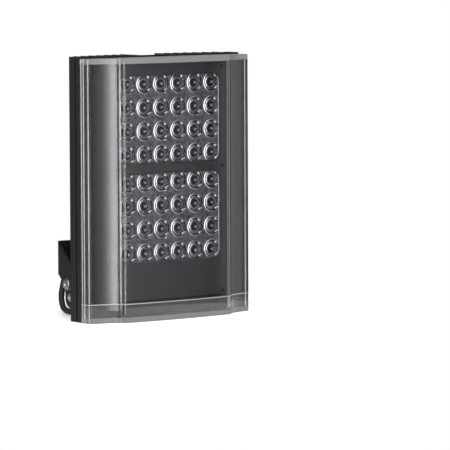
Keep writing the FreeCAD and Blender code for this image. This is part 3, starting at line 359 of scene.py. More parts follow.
def place_along(line, along, distance):
    """The point of a line at a distance from its start, and the direction of the line there."""
    index = max(1, next(i for i, far in enumerate(along) if far >= distance))
    share = (distance - along[index - 1]) / (along[index] - along[index - 1])
    return line[index - 1].lerp(line[index], share), (line[index] - line[index - 1]).normalized()


def make_sleeve(lead):
    """The tapered, ribbed strain relief where the lead leaves the gland."""
    line = lead_line(lead)
    line.insert(0, line[0] - Vector((0.0, SLEEVE_OVERLAP, 0.0)))
    along = [0.0]
    for before, point in zip(line, line[1:]):
        along.append(along[-1] + (point - before).length)
    surface = Surface()
    rings = []
    for radius, distance in sleeve_profile():
        middle, forward = place_along(line, along, distance)
        side = forward.cross(Vector((0, 0, 1))).normalized()
        other = side.cross(forward)
        rings.append(surface.ring(circle(middle, side, other, [radius] * SLEEVE_SEGMENTS)))
    for low, high in zip(rings, rings[1:]):
        surface.band(low, high)
    return finished("lead_sleeve", surface)


# Ties round the coil

TIE_WIDTH = 5.0
TIE_THICKNESS = 0.7
TIE_GAP = 0.1
TIE_ANGLES = (60.0, 215.0)
TIE_CORNER_STEPS = 6
# Corners of a tie's section: distance from the lead, share of the width, least height
TIE_SECTION = [
    (TIE_GAP, -0.5, 0.15), (TIE_THICKNESS, -0.4, 0.05), (TIE_THICKNESS, 0.4, 0.05), (TIE_GAP, 0.5, 0.15),
]


def tie_loop():
    """The way of a tie round the coil's section: the middle of a turn at its corner, and the way out."""
    far, near = COIL_RADII[0], COIL_RADII[2]
    foot, top = COIL_HEIGHTS[0], COIL_HEIGHTS[-1]
    for x, z, start in ((far, top, 0.0), (near, top, 90.0), (near, foot, 180.0), (far, foot, 270.0)):
        for step in range(TIE_CORNER_STEPS + 1):
            turn = math.radians(start + 90.0 * step / TIE_CORNER_STEPS)
            yield x, z, math.cos(turn), math.sin(turn)


def make_tie(name, angle):
    """A strap round the coil's turns at one angle."""
    out = Vector((math.cos(angle), math.sin(angle), 0.0))
    across = Vector((-math.sin(angle), math.cos(angle), 0.0))
    middle = Vector((*COIL_CENTRE, 0.0))
    surface = Surface()
    rings = []
    for x, z, cosine, sine in tie_loop():
        spots = []
        for gap, share, least in TIE_SECTION:
            reach = LEAD_DIAMETER / 2.0 + gap
            upward = Vector((0, 0, max(z + reach * sine, least)))
            spots.append(middle + out * (x + reach * cosine) + across * share * TIE_WIDTH + upward)
        rings.append(surface.ring(spots))
    for ring, after in zip(rings, rings[1:] + rings[:1]):
        surface.band(ring, after)
    return finished(name, surface)


lead = make_lead()
sleeve = make_sleeve(lead)
ties = [make_tie(f"coil_tie_{number}", math.radians(angle)) for number, angle in enumerate(TIE_ANGLES)]
for piece in [sleeve] + ties:
    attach(piece, "lamp")


# Clear cover and end cap

WIDTH_HALF = 95.0
COVER_TOP = 251.0
COVER_WALL = 3.0
# Thickness of the seal between the cover and the housing's flange
SEAL = 1.0
SEAM_TOP = 18.0
SEAM_BOTTOM = 17.4
SHELL_EDGE = 0.35
# Corners of the outer section on the right, from the window's edge out to the rear
LIP = (62.9, -27.9)
STEP = (63.7, -24.9)
STEP_FILLET = 2.6
STEP_STEPS = 8
WING = (67.1, -23.2)
WING_RADIUS = 50.0
WING_STEPS = 24
CORNER = (94.6, -14.6)
CORNER_BACK = -13.4
WINDOW_RADIUS = 520.0
WINDOW_STEPS = 40
GROOVES = (-6.9, -3.1)
GROOVE_DEPTH = 0.7
# Looks of a shell's faces, by the order of its materials: clear, a light grey band at the closed end that
# paints the light seen there, and a light grey that paints highlights on the bright edges
CLEAR, PAINTED_LIGHT, PAINTED_HIGHLIGHT = 0, 1, 2
# Height of the band at each closed end that gets a light grey in place of clear plastic, painting the
# light seen on the end walls
PAINTED_LIGHT_BAND = 5.0
# The narrow slanted faces that catch the light: the grooves' sides and the corner's chamfer. A light grey
# on them paints their highlights.
BRIGHT_EDGES = [(WIDTH_HALF - GROOVE_DEPTH / 2, groove) for groove in GROOVES]
BRIGHT_EDGES.append(((CORNER[0] + WIDTH_HALF) / 2, (CORNER[1] + CORNER_BACK) / 2))
BRIGHT_SLANTS = (0.1, 0.96)
# Countersunk screws in the closed ends
SCREW_PLACES = (-70.0, 0.0, 70.0)
SCREW_DEPTH = -4.2
SCREW_HEAD = 2.9
SCREW_HEAD_HEIGHT = 1.7
SINK_ROOM = 0.2
SINK_RISE = 0.5
SINK_SEGMENTS = 32
HOLE_RADIUS = 1.7
HOLE_LENGTH = COVER_WALL + 1.0


def trace(corners):
    """Points along corners (x, y) or (x, y, radius, way, steps). Way 1 has the centre on the left."""
    points = []
    for index, corner in enumerate(corners):
        points.append((corner[0], corner[1]))
        if len(corner) == 2 or index + 1 == len(corners):
            continue
        start = Vector(corner[:2])
        end = Vector(corners[index + 1][:2])
        radius, way, steps = corner[2:]
        chord = end - start
        normal = Vector((-chord.y, chord.x)).normalized() * way
        centre = (start + end) / 2 + normal * math.sqrt(radius ** 2 - (chord.length / 2) ** 2)
        first = math.atan2(start.y - centre.y, start.x - centre.x)
        sweep = 2.0 * math.asin(chord.length / 2 / radius) * way
        for step in range(1, steps):
            angle = first + sweep * step / steps
            points.append((centre.x + radius * math.cos(angle), centre.y + radius * math.sin(angle)))
    return points


def both_sides(right):
    """A path from the left rim to the right one. An arc is given with the right corner where it starts."""
    left = []
    for index in range(len(right) - 1, -1, -1):
        arc = right[index - 1][2:] if index > 0 else (WINDOW_RADIUS, 1, WINDOW_STEPS)
        left.append((-right[index][0], right[index][1]) + tuple(arc))
    return trace(left + right)


def cover_sections():
    """The outer and the inner section of the cover, both from the left rim to the right one."""
    grooves = []
    for groove in GROOVES:
        grooves.append((WIDTH_HALF, groove - GROOVE_DEPTH))
        grooves.append((WIDTH_HALF - GROOVE_DEPTH, groove))
        grooves.append((WIDTH_HALF, groove + GROOVE_DEPTH))
    outer = both_sides(
        [
            LIP,
            STEP + (STEP_FILLET, -1, STEP_STEPS),
            WING + (WING_RADIUS, -1, WING_STEPS),
            CORNER,
            (WIDTH_HALF, CORNER_BACK),
            *grooves,
            (WIDTH_HALF, -SEAL),
        ]
    )
    inner_lip = LIP[0] - COVER_WALL
    centre = math.sqrt(WINDOW_RADIUS ** 2 - LIP[0] ** 2) + LIP[1]
    inner = both_sides(
        [
            (inner_lip, centre - math.sqrt((WINDOW_RADIUS - COVER_WALL) ** 2 - inner_lip ** 2)),
            (STEP[0] - COVER_WALL, STEP[1], STEP_FILLET + COVER_WALL, -1, STEP_STEPS),
            (WING[0], WING[1] + COVER_WALL, WING_RADIUS + COVER_WALL, -1, WING_STEPS),
            (WIDTH_HALF - COVER_WALL, CORNER[1] + COVER_WALL / math.sqrt(2.0)),
            (WIDTH_HALF - COVER_WALL, -SEAL),
        ]
    )
    return outer, inner


def sink_screws(shell, face, way):
    """Cut the countersunk holes for the screws into the closed end."""
    mouth = SCREW_HEAD + SINK_ROOM
    profile = [
        (0.0, SINK_RISE), (mouth, SINK_RISE), (mouth, 0.0),
        (HOLE_RADIUS, -SCREW_HEAD_HEIGHT), (HOLE_RADIUS, -HOLE_LENGTH), (0.0, -HOLE_LENGTH),
    ]
    sinks = []
    for across in SCREW_PLACES:
        sinks.append(turned("sink", profile, (across, SCREW_DEPTH, face), (0, 0, way), SINK_SEGMENTS))
    cutter = joined("sinks", sinks)
    cut = shell.modifiers.new("Cut", "BOOLEAN")
    cut.object = cutter
    cut.solver = "EXACT"
    apply_modifiers(shell)
    bpy.data.objects.remove(cutter)


def mark_looks(shell, painted_light_line, way):
    """Give the bright edges their painted highlight, paint light on what lies beyond a height, and leave
    the rest clear.
    """
    for face in shell.data.polygons:
        spot = (abs(face.center.x) / MM, face.center.y / MM)
        slanted = BRIGHT_SLANTS[0] < abs(face.normal.x) < BRIGHT_SLANTS[1]
        if slanted and any(math.dist(spot, edge) < GROOVE_DEPTH for edge in BRIGHT_EDGES):
            face.material_index = PAINTED_HIGHLIGHT
        elif (face.center.z / MM - painted_light_line) * way > 0.0:
            face.material_index = PAINTED_LIGHT
        else:
            face.material_index = CLEAR


def clear_shell(name, open_end, closed_end):
    """The cover's shell between two heights, open at one end and closed by a plate at the other."""
    outer, inner = cover_sections()
    way = 1.0 if closed_end > open_end else -1.0
    plate = closed_end - way * COVER_WALL
    painted_light_line = closed_end - way * PAINTED_LIGHT_BAND
    surface = Surface()
    outside = []
    for height in (open_end, painted_light_line, plate, closed_end):
        outside.append(surface.ring([(x, y, height) for x, y in outer]))
    inside = []
    for height in (open_end, plate):
        inside.append(surface.ring([(x, y, height) for x, y in inner]))
    for low, high in zip(outside, outside[1:]):
        surface.strip(low, high)
    surface.strip(inside[1], inside[0])
    surface.face(outside[3])
    surface.face(inside[1][::-1])
    surface.face([*outside[0][::-1], *inside[0]])
    for end in (0, -1):
        side = [outside[0][end], inside[0][end], inside[1][end], outside[2][end], outside[1][end]]
        surface.face(side)
    rear = [outside[2][0], inside[1][0], inside[1][-1], outside[2][-1], outside[3][-1], outside[3][0]]
    surface.face(rear)
    shell = finished(name, surface)
    sink_screws(shell, closed_end, way)
    mark_looks(shell, painted_light_line, way)
    return bevel(shell, SHELL_EDGE)


cover = clear_shell("front_cover_shell", SEAM_TOP, COVER_TOP)
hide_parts("front_cover")
end_cap = clear_shell("end_cap_shell", SEAM_BOTTOM, 0.0)
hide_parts("lower_end_cap")
for shell in (cover, end_cap):
    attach(shell, "lamp")


# Lens arrays

LENS_PITCH = 19.8
LENS_ROW_PITCH = 22.6
COLUMNS = 6
ROWS = 4
ARRAY_MIDDLES = {"upper": 191.7, "lower": 97.6}
TRAY_HALF_WIDTH = 58.4
TRAY_HALF_HEIGHT = 42.8
TRAY_CORNER = 9.0
TRAY_CORNER_STEPS = 8
TRAY_FRONT = 14.9
TRAY_BACK = 11.7
PLATE_DEPTH = 1.6
LENS_STEPS = 56
# A share of a direction below this counts as none
TINY = 1e-9
# Looks of a tray's faces, by the order of its materials
PLATE, WALL, LEDGE, RIM = 0, 1, 2, 3
# Rings of a lens from outside inwards: radius, depth behind the tray's front, and look of the band outside
# that ring. A fourth value is the depth on a bridge, where the band looks like a wall.
LENS_FRONT = [
    (9.45, 1.6, PLATE), (9.42, 1.0, LEDGE), (9.1, 0.75, WALL), (8.75, 0.48, WALL), (8.55, 0.42, WALL),
    (8.4, 0.8, LEDGE, 0.5), (8.1, 1.25, LEDGE, 0.45), (7.6, 1.4, LEDGE, 0.35), (7.15, 1.35, LEDGE, 0.4),
    (7.0, 1.1, LEDGE, 0.6), (6.72, 0.88, WALL), (6.5, 0.72, WALL), (6.4, 0.75, WALL),
    (6.2, 1.1, LEDGE), (5.8, 1.7, LEDGE), (5.2, 2.1, PLATE), (4.6, 2.3, PLATE), (4.0, 2.35, PLATE),
    (3.6, 1.9, LEDGE), (3.4, 1.2, LEDGE), (3.1, 0.7, LEDGE), (2.5, 0.4, LEDGE), (1.6, 0.3, LEDGE),
    (1.3, 0.25, WALL), (0.8, 0.05, WALL), (0.0, 0.0, WALL),
]
LENS_BACK = [
    (6.3, 3.2, PLATE), (5.6, 3.6, PLATE), (4.4, 4.3, PLATE), (3.4, 4.6, PLATE), (2.9, 4.6, PLATE),
    (2.6, 4.45, PLATE), (0.0, 4.45, PLATE),
]
# Directions of the two bridges between a lens's rims, in degrees, and half their width
BRIDGES = (52.0, -48.0)
BRIDGE_HALF = 12.0
# Rings of the tray's rim: inset from its outline, and depth behind its front
BEAD_SECTION = [
    (0.0, TRAY_FRONT - TRAY_BACK), (0.0, 0.5), (0.25, 0.15), (0.6, 0.0), (0.95, 0.15), (1.25, 0.6),
    (1.5, PLATE_DEPTH),
]
# Gate marks: their rings, and their places in pitches from the tray's middle line and its lowest row
GATE_SECTION = [(1.1, PLATE_DEPTH), (1.0, 1.2), (0.7, 0.95), (0.0, 0.9)]
GATE_STEPS = 16
GATES = [(-2.0, 0.0), (-2.0, 3.0), (2.0, 0.0), (2.0, 3.0), (-0.24, 0.6), (-0.24, 2.63)]


def cell_middle(column, line):
    """The middle of a lens, seen from the middle of its array."""
    return (column - (COLUMNS - 1) / 2) * LENS_PITCH, (line - (ROWS - 1) / 2) * LENS_ROW_PITCH


def cell_edge(column, line, angle):
    """The distance from a lens's middle to the edge of its cell, in one direction."""
    x, z = cell_middle(column, line)
    left = -TRAY_HALF_WIDTH - x if column == 0 else -LENS_PITCH / 2
    right = TRAY_HALF_WIDTH - x if column == COLUMNS - 1 else LENS_PITCH / 2
    low = -TRAY_HALF_HEIGHT - z if line == 0 else -LENS_ROW_PITCH / 2
    high = TRAY_HALF_HEIGHT - z if line == ROWS - 1 else LENS_ROW_PITCH / 2
    across, up = math.cos(angle), math.sin(angle)
    reach = min(
        (right if across > 0 else left) / across if abs(across) > TINY else math.inf,
        (high if up > 0 else low) / up if abs(up) > TINY else math.inf,
    )
    outer_x = column in (0, COLUMNS - 1) and (across > 0) == (column > 0)
    outer_z = line in (0, ROWS - 1) and (up > 0) == (line > 0)
    return min(reach, TRAY_CORNER) if outer_x and outer_z else reach


def on_bridge(turn):
    """Whether a direction from a lens's middle meets one of the bridges between its two rims."""
    away = [abs((math.degrees(turn) - bridge + 180.0) % 360.0 - 180.0) for bridge in BRIDGES]
    return min(away) < BRIDGE_HALF


def lens_fan(tray, middle, column, line, profile, plate, forward):
    """One cell of the tray: bands from the cell's edge in to the lens's middle."""
    x, z = cell_middle(column, line)
    z += middle
    turns = [2.0 * math.pi * step / LENS_STEPS for step in range(LENS_STEPS)]
    edge = []
    for turn in turns:
        reach = cell_edge(column, line, turn)
        edge.append((x + reach * math.cos(turn), -plate, z + reach * math.sin(turn)))
    outer = tray.ring(edge)
    for radius, depth, look, *bridge in profile:
        spots = []
        for turn in turns if radius else [0.0]:
            back = (bridge[0] if bridge and on_bridge(turn) else depth) - TRAY_FRONT
            spots.append((x + radius * math.cos(turn), back, z + radius * math.sin(turn)))
        inner = tray.ring(spots)
        tray.band(outer, inner, [WALL if bridge and on_bridge(turn) else look for turn in turns], forward)
        outer = inner


def tray_outline(inset):
    """The tray's rounded outline, moved inwards."""
    radius = TRAY_CORNER - inset
    points = []
    for across, up, start in ((1, 1, 0.0), (-1, 1, 90.0), (-1, -1, 180.0), (1, -1, 270.0)):
        for step in range(TRAY_CORNER_STEPS + 1):
            turn = math.radians(start + 90.0 * step / TRAY_CORNER_STEPS)
            x = across * (TRAY_HALF_WIDTH - TRAY_CORNER) + radius * math.cos(turn)
            z = up * (TRAY_HALF_HEIGHT - TRAY_CORNER) + radius * math.sin(turn)
            points.append((x, z))
    return points


def tray_bead(tray, middle):
    """The raised, rounded rim round the tray."""
    rings = []
    for inset, depth in BEAD_SECTION:
        rings.append(tray.ring([(x, depth - TRAY_FRONT, middle + z) for x, z in tray_outline(inset)]))
    for outer, inner in zip(rings, rings[1:]):
        tray.band(outer, inner, [RIM] * len(outer))


def gate_dot(tray, x, z):
    """A small round gate mark on the tray's plate."""
    rings = []
    for radius, depth in GATE_SECTION:
        spots = []
        for step in range(GATE_STEPS if radius else 1):
            turn = 2.0 * math.pi * step / GATE_STEPS
            spots.append((x + radius * math.cos(turn), depth - TRAY_FRONT, z + radius * math.sin(turn)))
        rings.append(tray.ring(spots))
    for outer, inner in zip(rings, rings[1:]):
        tray.band(outer, inner, [WALL] * GATE_STEPS)


def lens_array(level):
    """A clear tray with 24 stepped lenses, a raised rim, gate marks and a stub behind each lens."""
    middle = ARRAY_MIDDLES[level]
    tray = Surface()
    for column in range(COLUMNS):
        for line in range(ROWS):
            lens_fan(tray, middle, column, line, LENS_FRONT, TRAY_FRONT - PLATE_DEPTH, True)
            lens_fan(tray, middle, column, line, LENS_BACK, TRAY_BACK, False)
    tray_bead(tray, middle)
    for across, up in GATES:
        gate_dot(tray, across * LENS_PITCH, middle + (up - (ROWS - 1) / 2) * LENS_ROW_PITCH)
    return tray.mesh(f"lens_tray_{level}")


arrays = []
for level in ARRAY_MIDDLES:
    tray = lens_array(level)
    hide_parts(f"lens_array_{level}")
    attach(tray, "lamp")
    arrays.append(tray)


# Screws and bolts

# Y and Z of the pivot and of the ear plates' bolts. A seat is where the undersides of heads lie.
PIVOT = (30.8, 34.2)
PIVOT_SEAT = 88.44
EAR_BOLTS = [(31.6, 21.3), (13.0, 19.0)]
EAR_SEAT = 83.7
BEZEL_SCREW_SEAT = -13.8
BEZEL_SCREW_X = 61.4
BEZEL_SCREW_HEIGHTS = [22.8, sum(ARRAY_MIDDLES.values()) / 2, 240.2]
BOARD_SCREW_SEAT = -8.9
# Places of the board screws from the middle of their array
BOARD_SCREW_X = 54.5
BOARD_SCREW_Z = 40.0
# Radii of shank, head and socket, length of the shank and height of the head
PIVOT_BOLT = {"shank": 3.0, "length": 15.0, "head": 5.25, "height": 3.3, "socket": 2.0}
EAR_BOLT = {"shank": 2.5, "length": 8.7, "head": 4.2, "height": 2.6, "socket": 1.5}
BEZEL_SCREW = {"shank": 1.5, "length": 11.8, "head": 2.4, "height": 1.4, "socket": 1.0}
BOARD_SCREW = {"shank": 1.5, "length": 6.4, "head": 2.75, "height": 1.6, "socket": 1.0}
TIP_BEVEL = 0.35
HEAD_EDGE = 0.15
# Shares of a head's height: its upright rim, its socket's floor and the point below that
HEAD_RIM = 0.3
SOCKET_FLOOR = 0.45
SOCKET_POINT = 0.3
# A socket's round mouth as a share of its radius, and the depth in which it turns into a hexagon
SOCKET_MOUTH = 1.3
SOCKET_EDGE = 0.12
SOCKET_FLATS = 6
DOME_STEPS = 8
# Rings of a countersunk screw as radius and height over the face that it is sunk in
SUNK_PROFILE = [
    (0.0, -15.0), (1.15, -15.0), (1.5, -14.6), (1.5, -SCREW_HEAD_HEIGHT), (SCREW_HEAD, -0.1),
    (SCREW_HEAD - 0.1, 0.0), (1.3, 0.0), (1.0, -SOCKET_EDGE, SOCKET_FLATS, 0),
    (1.0, -1.2, SOCKET_FLATS, 0), (0.0, -1.45),
]


def round_head_screw(name, seat, axis, shank, length, head, height, socket):
    """A screw with a domed head and a hexagon socket, from its seat along an axis."""
    rim = HEAD_RIM * height
    mouth = socket * SOCKET_MOUTH
    profile = [
        (0.0, -length), (shank - TIP_BEVEL, -length), (shank, TIP_BEVEL - length), (shank, 0.0),
        (head - HEAD_EDGE, 0.0), (head, HEAD_EDGE), (head, rim),
    ]
    for step in range(1, DOME_STEPS + 1):
        turn = math.radians(90.0 * step / DOME_STEPS)
        profile.append((mouth + (head - mouth) * math.cos(turn), rim + (height - rim) * math.sin(turn)))
    profile += [
        (socket, height - SOCKET_EDGE, SOCKET_FLATS, 0), (socket, SOCKET_FLOOR * height, SOCKET_FLATS, 0),
        (0.0, SOCKET_POINT * height),
    ]
    return turned(name, profile, seat, axis)


def stand_in(name, things, node):
    """Join new pieces into one that replaces a CAD node."""
    whole = joined(name, things)
    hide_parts(node)
    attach(whole, "lamp")
    return whole


def make_screws():
    """The sets of screws and bolts whose heads show: five of bare steel, and the bezel's black one, whose
    near-black colour also paints the shade of its recess.
    """
    pivots, ears, bezel, boards = [], [], [], []
    forward = (0, -1, 0)
    for side in (-1, 1):
        outward = (side, 0, 0)
        pivots.append(round_head_screw("pivot", (side * PIVOT_SEAT, *PIVOT), outward, **PIVOT_BOLT))
        for place in EAR_BOLTS:
            ears.append(round_head_screw("ear", (side * EAR_SEAT, *place), outward, **EAR_BOLT))
        for z in BEZEL_SCREW_HEIGHTS:
            seat = (side * BEZEL_SCREW_X, BEZEL_SCREW_SEAT, z)
            bezel.append(round_head_screw("bezel", seat, forward, **BEZEL_SCREW))
        for middle in ARRAY_MIDDLES.values():
            for up in (-1, 1):
                seat = (side * BOARD_SCREW_X, BOARD_SCREW_SEAT, middle + up * BOARD_SCREW_Z)
                boards.append(round_head_screw("board", seat, forward, **BOARD_SCREW))
    top = [turned("top", SUNK_PROFILE, (x, SCREW_DEPTH, COVER_TOP), (0, 0, 1)) for x in SCREW_PLACES]
    foot = [turned("foot", SUNK_PROFILE, (x, SCREW_DEPTH, 0.0), (0, 0, -1)) for x in SCREW_PLACES]
    steel = [
        stand_in("pivot_bolt_heads", pivots, "pivot_bolts"),
        stand_in("ear_bolt_heads", ears, "ear_bolts"),
        stand_in("board_screw_heads", boards, "board_screws"),
        stand_in("cover_screw_heads", top, "cover_screws"),
        stand_in("end_cap_screw_heads", foot, "end_cap_screws"),
    ]
    return steel, stand_in("bezel_screw_heads", bezel, "bezel_screws")


steel_screws, bezel_screws = make_screws()


# Gland nut

# The nut ends where the lead leaves it
GLAND_HEIGHT = LEAD_ROUTE[0][2]
NUT_LENGTH = 18.0
NUT_START = LEAD_ROUTE[0][1] - NUT_LENGTH
NUT_RIBS = 24
NUT_SEGMENTS = 144
# Rings of the nut as radius and distance from its foot
NUT_SKIRT = [(8.3, 0.06), (9.8, 0.06), (10.0, 0.5, 0, NUT_RIBS), (10.0, 9.4, 0, NUT_RIBS), (10.05, 10.0)]
NUT_TIP = (5.4, NUT_LENGTH)
NUT_INSIDE = [(5.2, NUT_LENGTH), (4.4, NUT_LENGTH), (4.4, 8.1), (8.3, 8.1), (8.3, 0.06)]
# How far the dome bows out, and its share along the axis
NUT_BOW = 0.55
NUT_BOW_ALONG = 0.4


def make_gland_nut():
    """The dome nut of the gland, with grip ribs round its skirt."""
    profile = list(NUT_SKIRT)
    radius, along = NUT_SKIRT[-1]
    for step in range(1, DOME_STEPS + 1):
        share = step / DOME_STEPS
        bow = NUT_BOW * math.sin(math.pi * share)
        outward = radius + (NUT_TIP[0] - radius) * share + bow
        profile.append((outward, along + (NUT_TIP[1] - along) * share + bow * NUT_BOW_ALONG))
    return turned("nut", profile + NUT_INSIDE, (0.0, NUT_START, GLAND_HEIGHT), (0, 1, 0), NUT_SEGMENTS)


gland_nut = stand_in("gland_dome_nut", [make_gland_nut()], "gland_nut")


# Soft edges on the CAD parts that keep their own shape

EDGE_WIDTHS = {
    "heatsink_housing": 0.3, "mounting_bracket": 0.35, "right_ear": 0.3, "left_ear": 0.3,
    "bezel_frame": 0.35, "gland_body": 0.3, "pivot_nuts": 0.3, "ear_nuts": 0.25, "pivot_washers": 0.15,
    "terminal_block": 0.25, "driver_inductor": 0.5, "driver_capacitors": 0.4, "driver_switches": 0.25,
    "led_emitters_upper": 0.15, "led_emitters_lower": 0.15,
}
for name, width in EDGE_WIDTHS.items():
    bevel(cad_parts[name], width)


# Materials

# Values of the noise between which colour and roughness change
COLOR_SPAN = (0.35, 0.65)
ROUGH_SPAN = (0.3, 0.7)


def material(name, color, roughness, **sockets):
    """A material with its Principled shader, and the constants on its own sockets."""
    made = bpy.data.materials.new(name)
    made.use_nodes = True
    shader = made.node_tree.nodes["Principled BSDF"]
    shader.inputs["Base Color"].default_value = (*color, 1.0)
    shader.inputs["Roughness"].default_value = roughness
    for socket, value in sockets.items():
        shader.inputs[socket.replace("_", " ")].default_value = value
    return made


def textured(made, scale, bump, colors, rough=None, detail=3.0):
    """Give a material fine grain: a noise that varies its colour, its roughness and its height."""
    nodes, links = made.node_tree.nodes, made.node_tree.links
    shader = nodes["Principled BSDF"]
    place = nodes.new("ShaderNodeTexCoord")
    noise = nodes.new("ShaderNodeTexNoise")
    noise.inputs["Scale"].default_value = scale
    noise.inputs["Detail"].default_value = detail
    links.new(place.outputs["Object"], noise.inputs["Vector"])
    ramp = nodes.new("ShaderNodeValToRGB")
    for stop, position, color in zip(ramp.color_ramp.elements, COLOR_SPAN, colors):
        stop.position = position
        stop.color = (*color, 1.0)
    links.new(noise.outputs["Fac"], ramp.inputs["Fac"])
    links.new(ramp.outputs["Color"], shader.inputs["Base Color"])
    if bump:
        height = nodes.new("ShaderNodeBump")
        height.inputs["Strength"].default_value = 1.0
        height.inputs["Distance"].default_value = bump * MM
        links.new(noise.outputs["Fac"], height.inputs["Height"])
        links.new(height.outputs["Normal"], shader.inputs["Normal"])
    if rough:
        spread = nodes.new("ShaderNodeMapRange")
        spread.inputs["From Min"].default_value, spread.inputs["From Max"].default_value = ROUGH_SPAN
        spread.inputs["To Min"].default_value, spread.inputs["To Max"].default_value = rough
        links.new(noise.outputs["Fac"], spread.inputs["Value"])
        links.new(spread.outputs["Result"], shader.inputs["Roughness"])
    return made


powder_coat = textured(
    material("powder_coat", (0.01, 0.01, 0.011), 0.5, Specular_IOR_Level=0.15), 2600.0, 0.012,
    colors=((0.007, 0.007, 0.008), (0.014, 0.014, 0.015)), rough=(0.42, 0.6),
)
bracket_coat = textured(
    material("bracket_coat", (0.009, 0.009, 0.01), 0.45, Specular_IOR_Level=0.15), 2200.0, 0.02,
    colors=((0.006, 0.006, 0.007), (0.013, 0.013, 0.014)), rough=(0.35, 0.5),
)
matt_plastic = textured(
    material("matt_plastic", (0.034, 0.034, 0.037), 0.5, Specular_IOR_Level=0.3), 3200.0, 0.006,
    colors=((0.029, 0.029, 0.031), (0.039, 0.039, 0.042)), rough=(0.45, 0.6),
)
# Black screws in recesses: the near-black colour and faint specular are partly the screws' own black and
# partly painted shade of the recess
black_zinc_and_recess_shade = textured(
    material("black_zinc_and_recess_shade", (0.003, 0.003, 0.004), 0.3, Specular_IOR_Level=0.05), 1500.0, 0.01,
    colors=((0.002, 0.002, 0.003), (0.005, 0.005, 0.006)), rough=(0.22, 0.36),
)
clear_plastic = textured(
    material("clear_plastic", (0.88, 0.89, 0.91), 0.0, Transmission_Weight=1.0, IOR=1.58), 60.0, 0.0,
    colors=((0.87, 0.88, 0.9), (0.9, 0.91, 0.93)),
)
# Painted light: an opaque light grey in place of clear plastic at the closed ends stands in for the light
# that shows on the end walls
end_band_painted_light = textured(
    material("end_band_painted_light", (0.14, 0.14, 0.145), 0.3), 1300.0, 0.004,
    colors=((0.13, 0.13, 0.135), (0.15, 0.15, 0.155)), rough=(0.25, 0.35),
)
# Painted highlight: a light grey, half opaque plastic on the narrow faces of the cover's edges stands in
# for the glints on them
edge_painted_highlight = textured(
    material("edge_painted_highlight", (0.34, 0.34, 0.35), 0.25, Transmission_Weight=0.2, IOR=1.58), 300.0, 0.01,
    colors=((0.3, 0.3, 0.31), (0.38, 0.38, 0.39)), rough=(0.15, 0.25),
)
lens_plate = textured(
    material("lens_plate", (0.1, 0.098, 0.102), 0.3, Specular_IOR_Level=0.4), 330.0, 0.05,
    colors=((0.055, 0.054, 0.057), (0.15, 0.145, 0.152)), rough=(0.25, 0.4), detail=5.0,
)
lens_wall = textured(
    material("lens_wall", (0.6, 0.6, 0.61), 0.1, Metallic=1.0), 700.0, 0.01,
    colors=((0.54, 0.54, 0.55), (0.66, 0.66, 0.67)), rough=(0.05, 0.11),
)
lens_ledge = textured(
    material("lens_ledge", (0.004, 0.004, 0.005), 0.2, Specular_IOR_Level=0.08), 900.0, 0.02,
    colors=((0.002, 0.002, 0.003), (0.007, 0.007, 0.008)), rough=(0.15, 0.3),
)
lens_rim = textured(
    material("lens_rim", (0.24, 0.24, 0.245), 0.12, Metallic=1.0), 700.0, 0.01,
    colors=((0.2, 0.2, 0.205), (0.28, 0.28, 0.285)), rough=(0.08, 0.16),
)
seal_rubber = textured(
    material("seal_rubber", (0.03, 0.03, 0.03), 0.7), 1500.0, 0.02,
    colors=((0.025, 0.025, 0.025), (0.036, 0.036, 0.037)), rough=(0.6, 0.8),
)
seam_silicone = textured(
    material("seam_silicone", (0.4, 0.4, 0.42), 0.4), 900.0, 0.01,
    colors=((0.34, 0.34, 0.36), (0.46, 0.46, 0.48)),
)
pad_rubber = textured(
    material("pad_rubber", (0.4, 0.4, 0.42), 0.7), 1200.0, 0.01,
    colors=((0.36, 0.36, 0.38), (0.45, 0.45, 0.47)),
)
board_mask = textured(
    material("board_mask", (0.05, 0.05, 0.052), 0.35), 700.0, 0.005,
    colors=((0.04, 0.04, 0.042), (0.07, 0.07, 0.072)),
)
green_board = textured(
    material("green_board", (0.03, 0.15, 0.06), 0.35), 500.0, 0.01,
    colors=((0.02, 0.11, 0.045), (0.03, 0.17, 0.07)),
)
emitter_amber = textured(
    material("emitter_amber", (0.5, 0.46, 0.35), 0.3), 1800.0, 0.005,
    colors=((0.4, 0.37, 0.28), (0.6, 0.56, 0.45)),
)
zinc_steel = textured(
    material("zinc_steel", (0.2, 0.19, 0.185), 0.3, Metallic=1.0), 900.0, 0.008,
    colors=((0.17, 0.162, 0.158), (0.24, 0.228, 0.222)), rough=(0.2, 0.34),
)
lead_rubber = textured(
    material("lead_rubber", (0.012, 0.012, 0.013), 0.45, Specular_IOR_Level=0.25), 1400.0, 0.02,
    colors=((0.009, 0.009, 0.01), (0.016, 0.016, 0.017)), rough=(0.38, 0.55),
)

NODE_LOOKS = {
    powder_coat: ["heatsink_housing"],
    bracket_coat: ["mounting_bracket", "right_ear", "left_ear"],
    matt_plastic: [
        "bezel_frame", "driver_inductor", "driver_switches", "terminal_block", "gland_body",
        "friction_washers",
    ],
    seal_rubber: ["cover_seal", "gland_seal"],
    seam_silicone: ["seam_seal"],
    pad_rubber: ["thermal_pad_upper", "thermal_pad_lower"],
    board_mask: ["led_board_upper", "led_board_lower"],
    green_board: ["driver_board"],
    emitter_amber: ["led_emitters_upper", "led_emitters_lower"],
    zinc_steel: ["driver_standoffs", "driver_capacitors", "pivot_nuts", "pivot_washers", "ear_nuts"],
}


def dress(thing, look):
    """Put one material on an object."""
    if thing.material_slots:
        for holder in thing.material_slots:
            holder.link = "OBJECT"
            holder.material = look
    else:
        thing.data.materials.append(look)


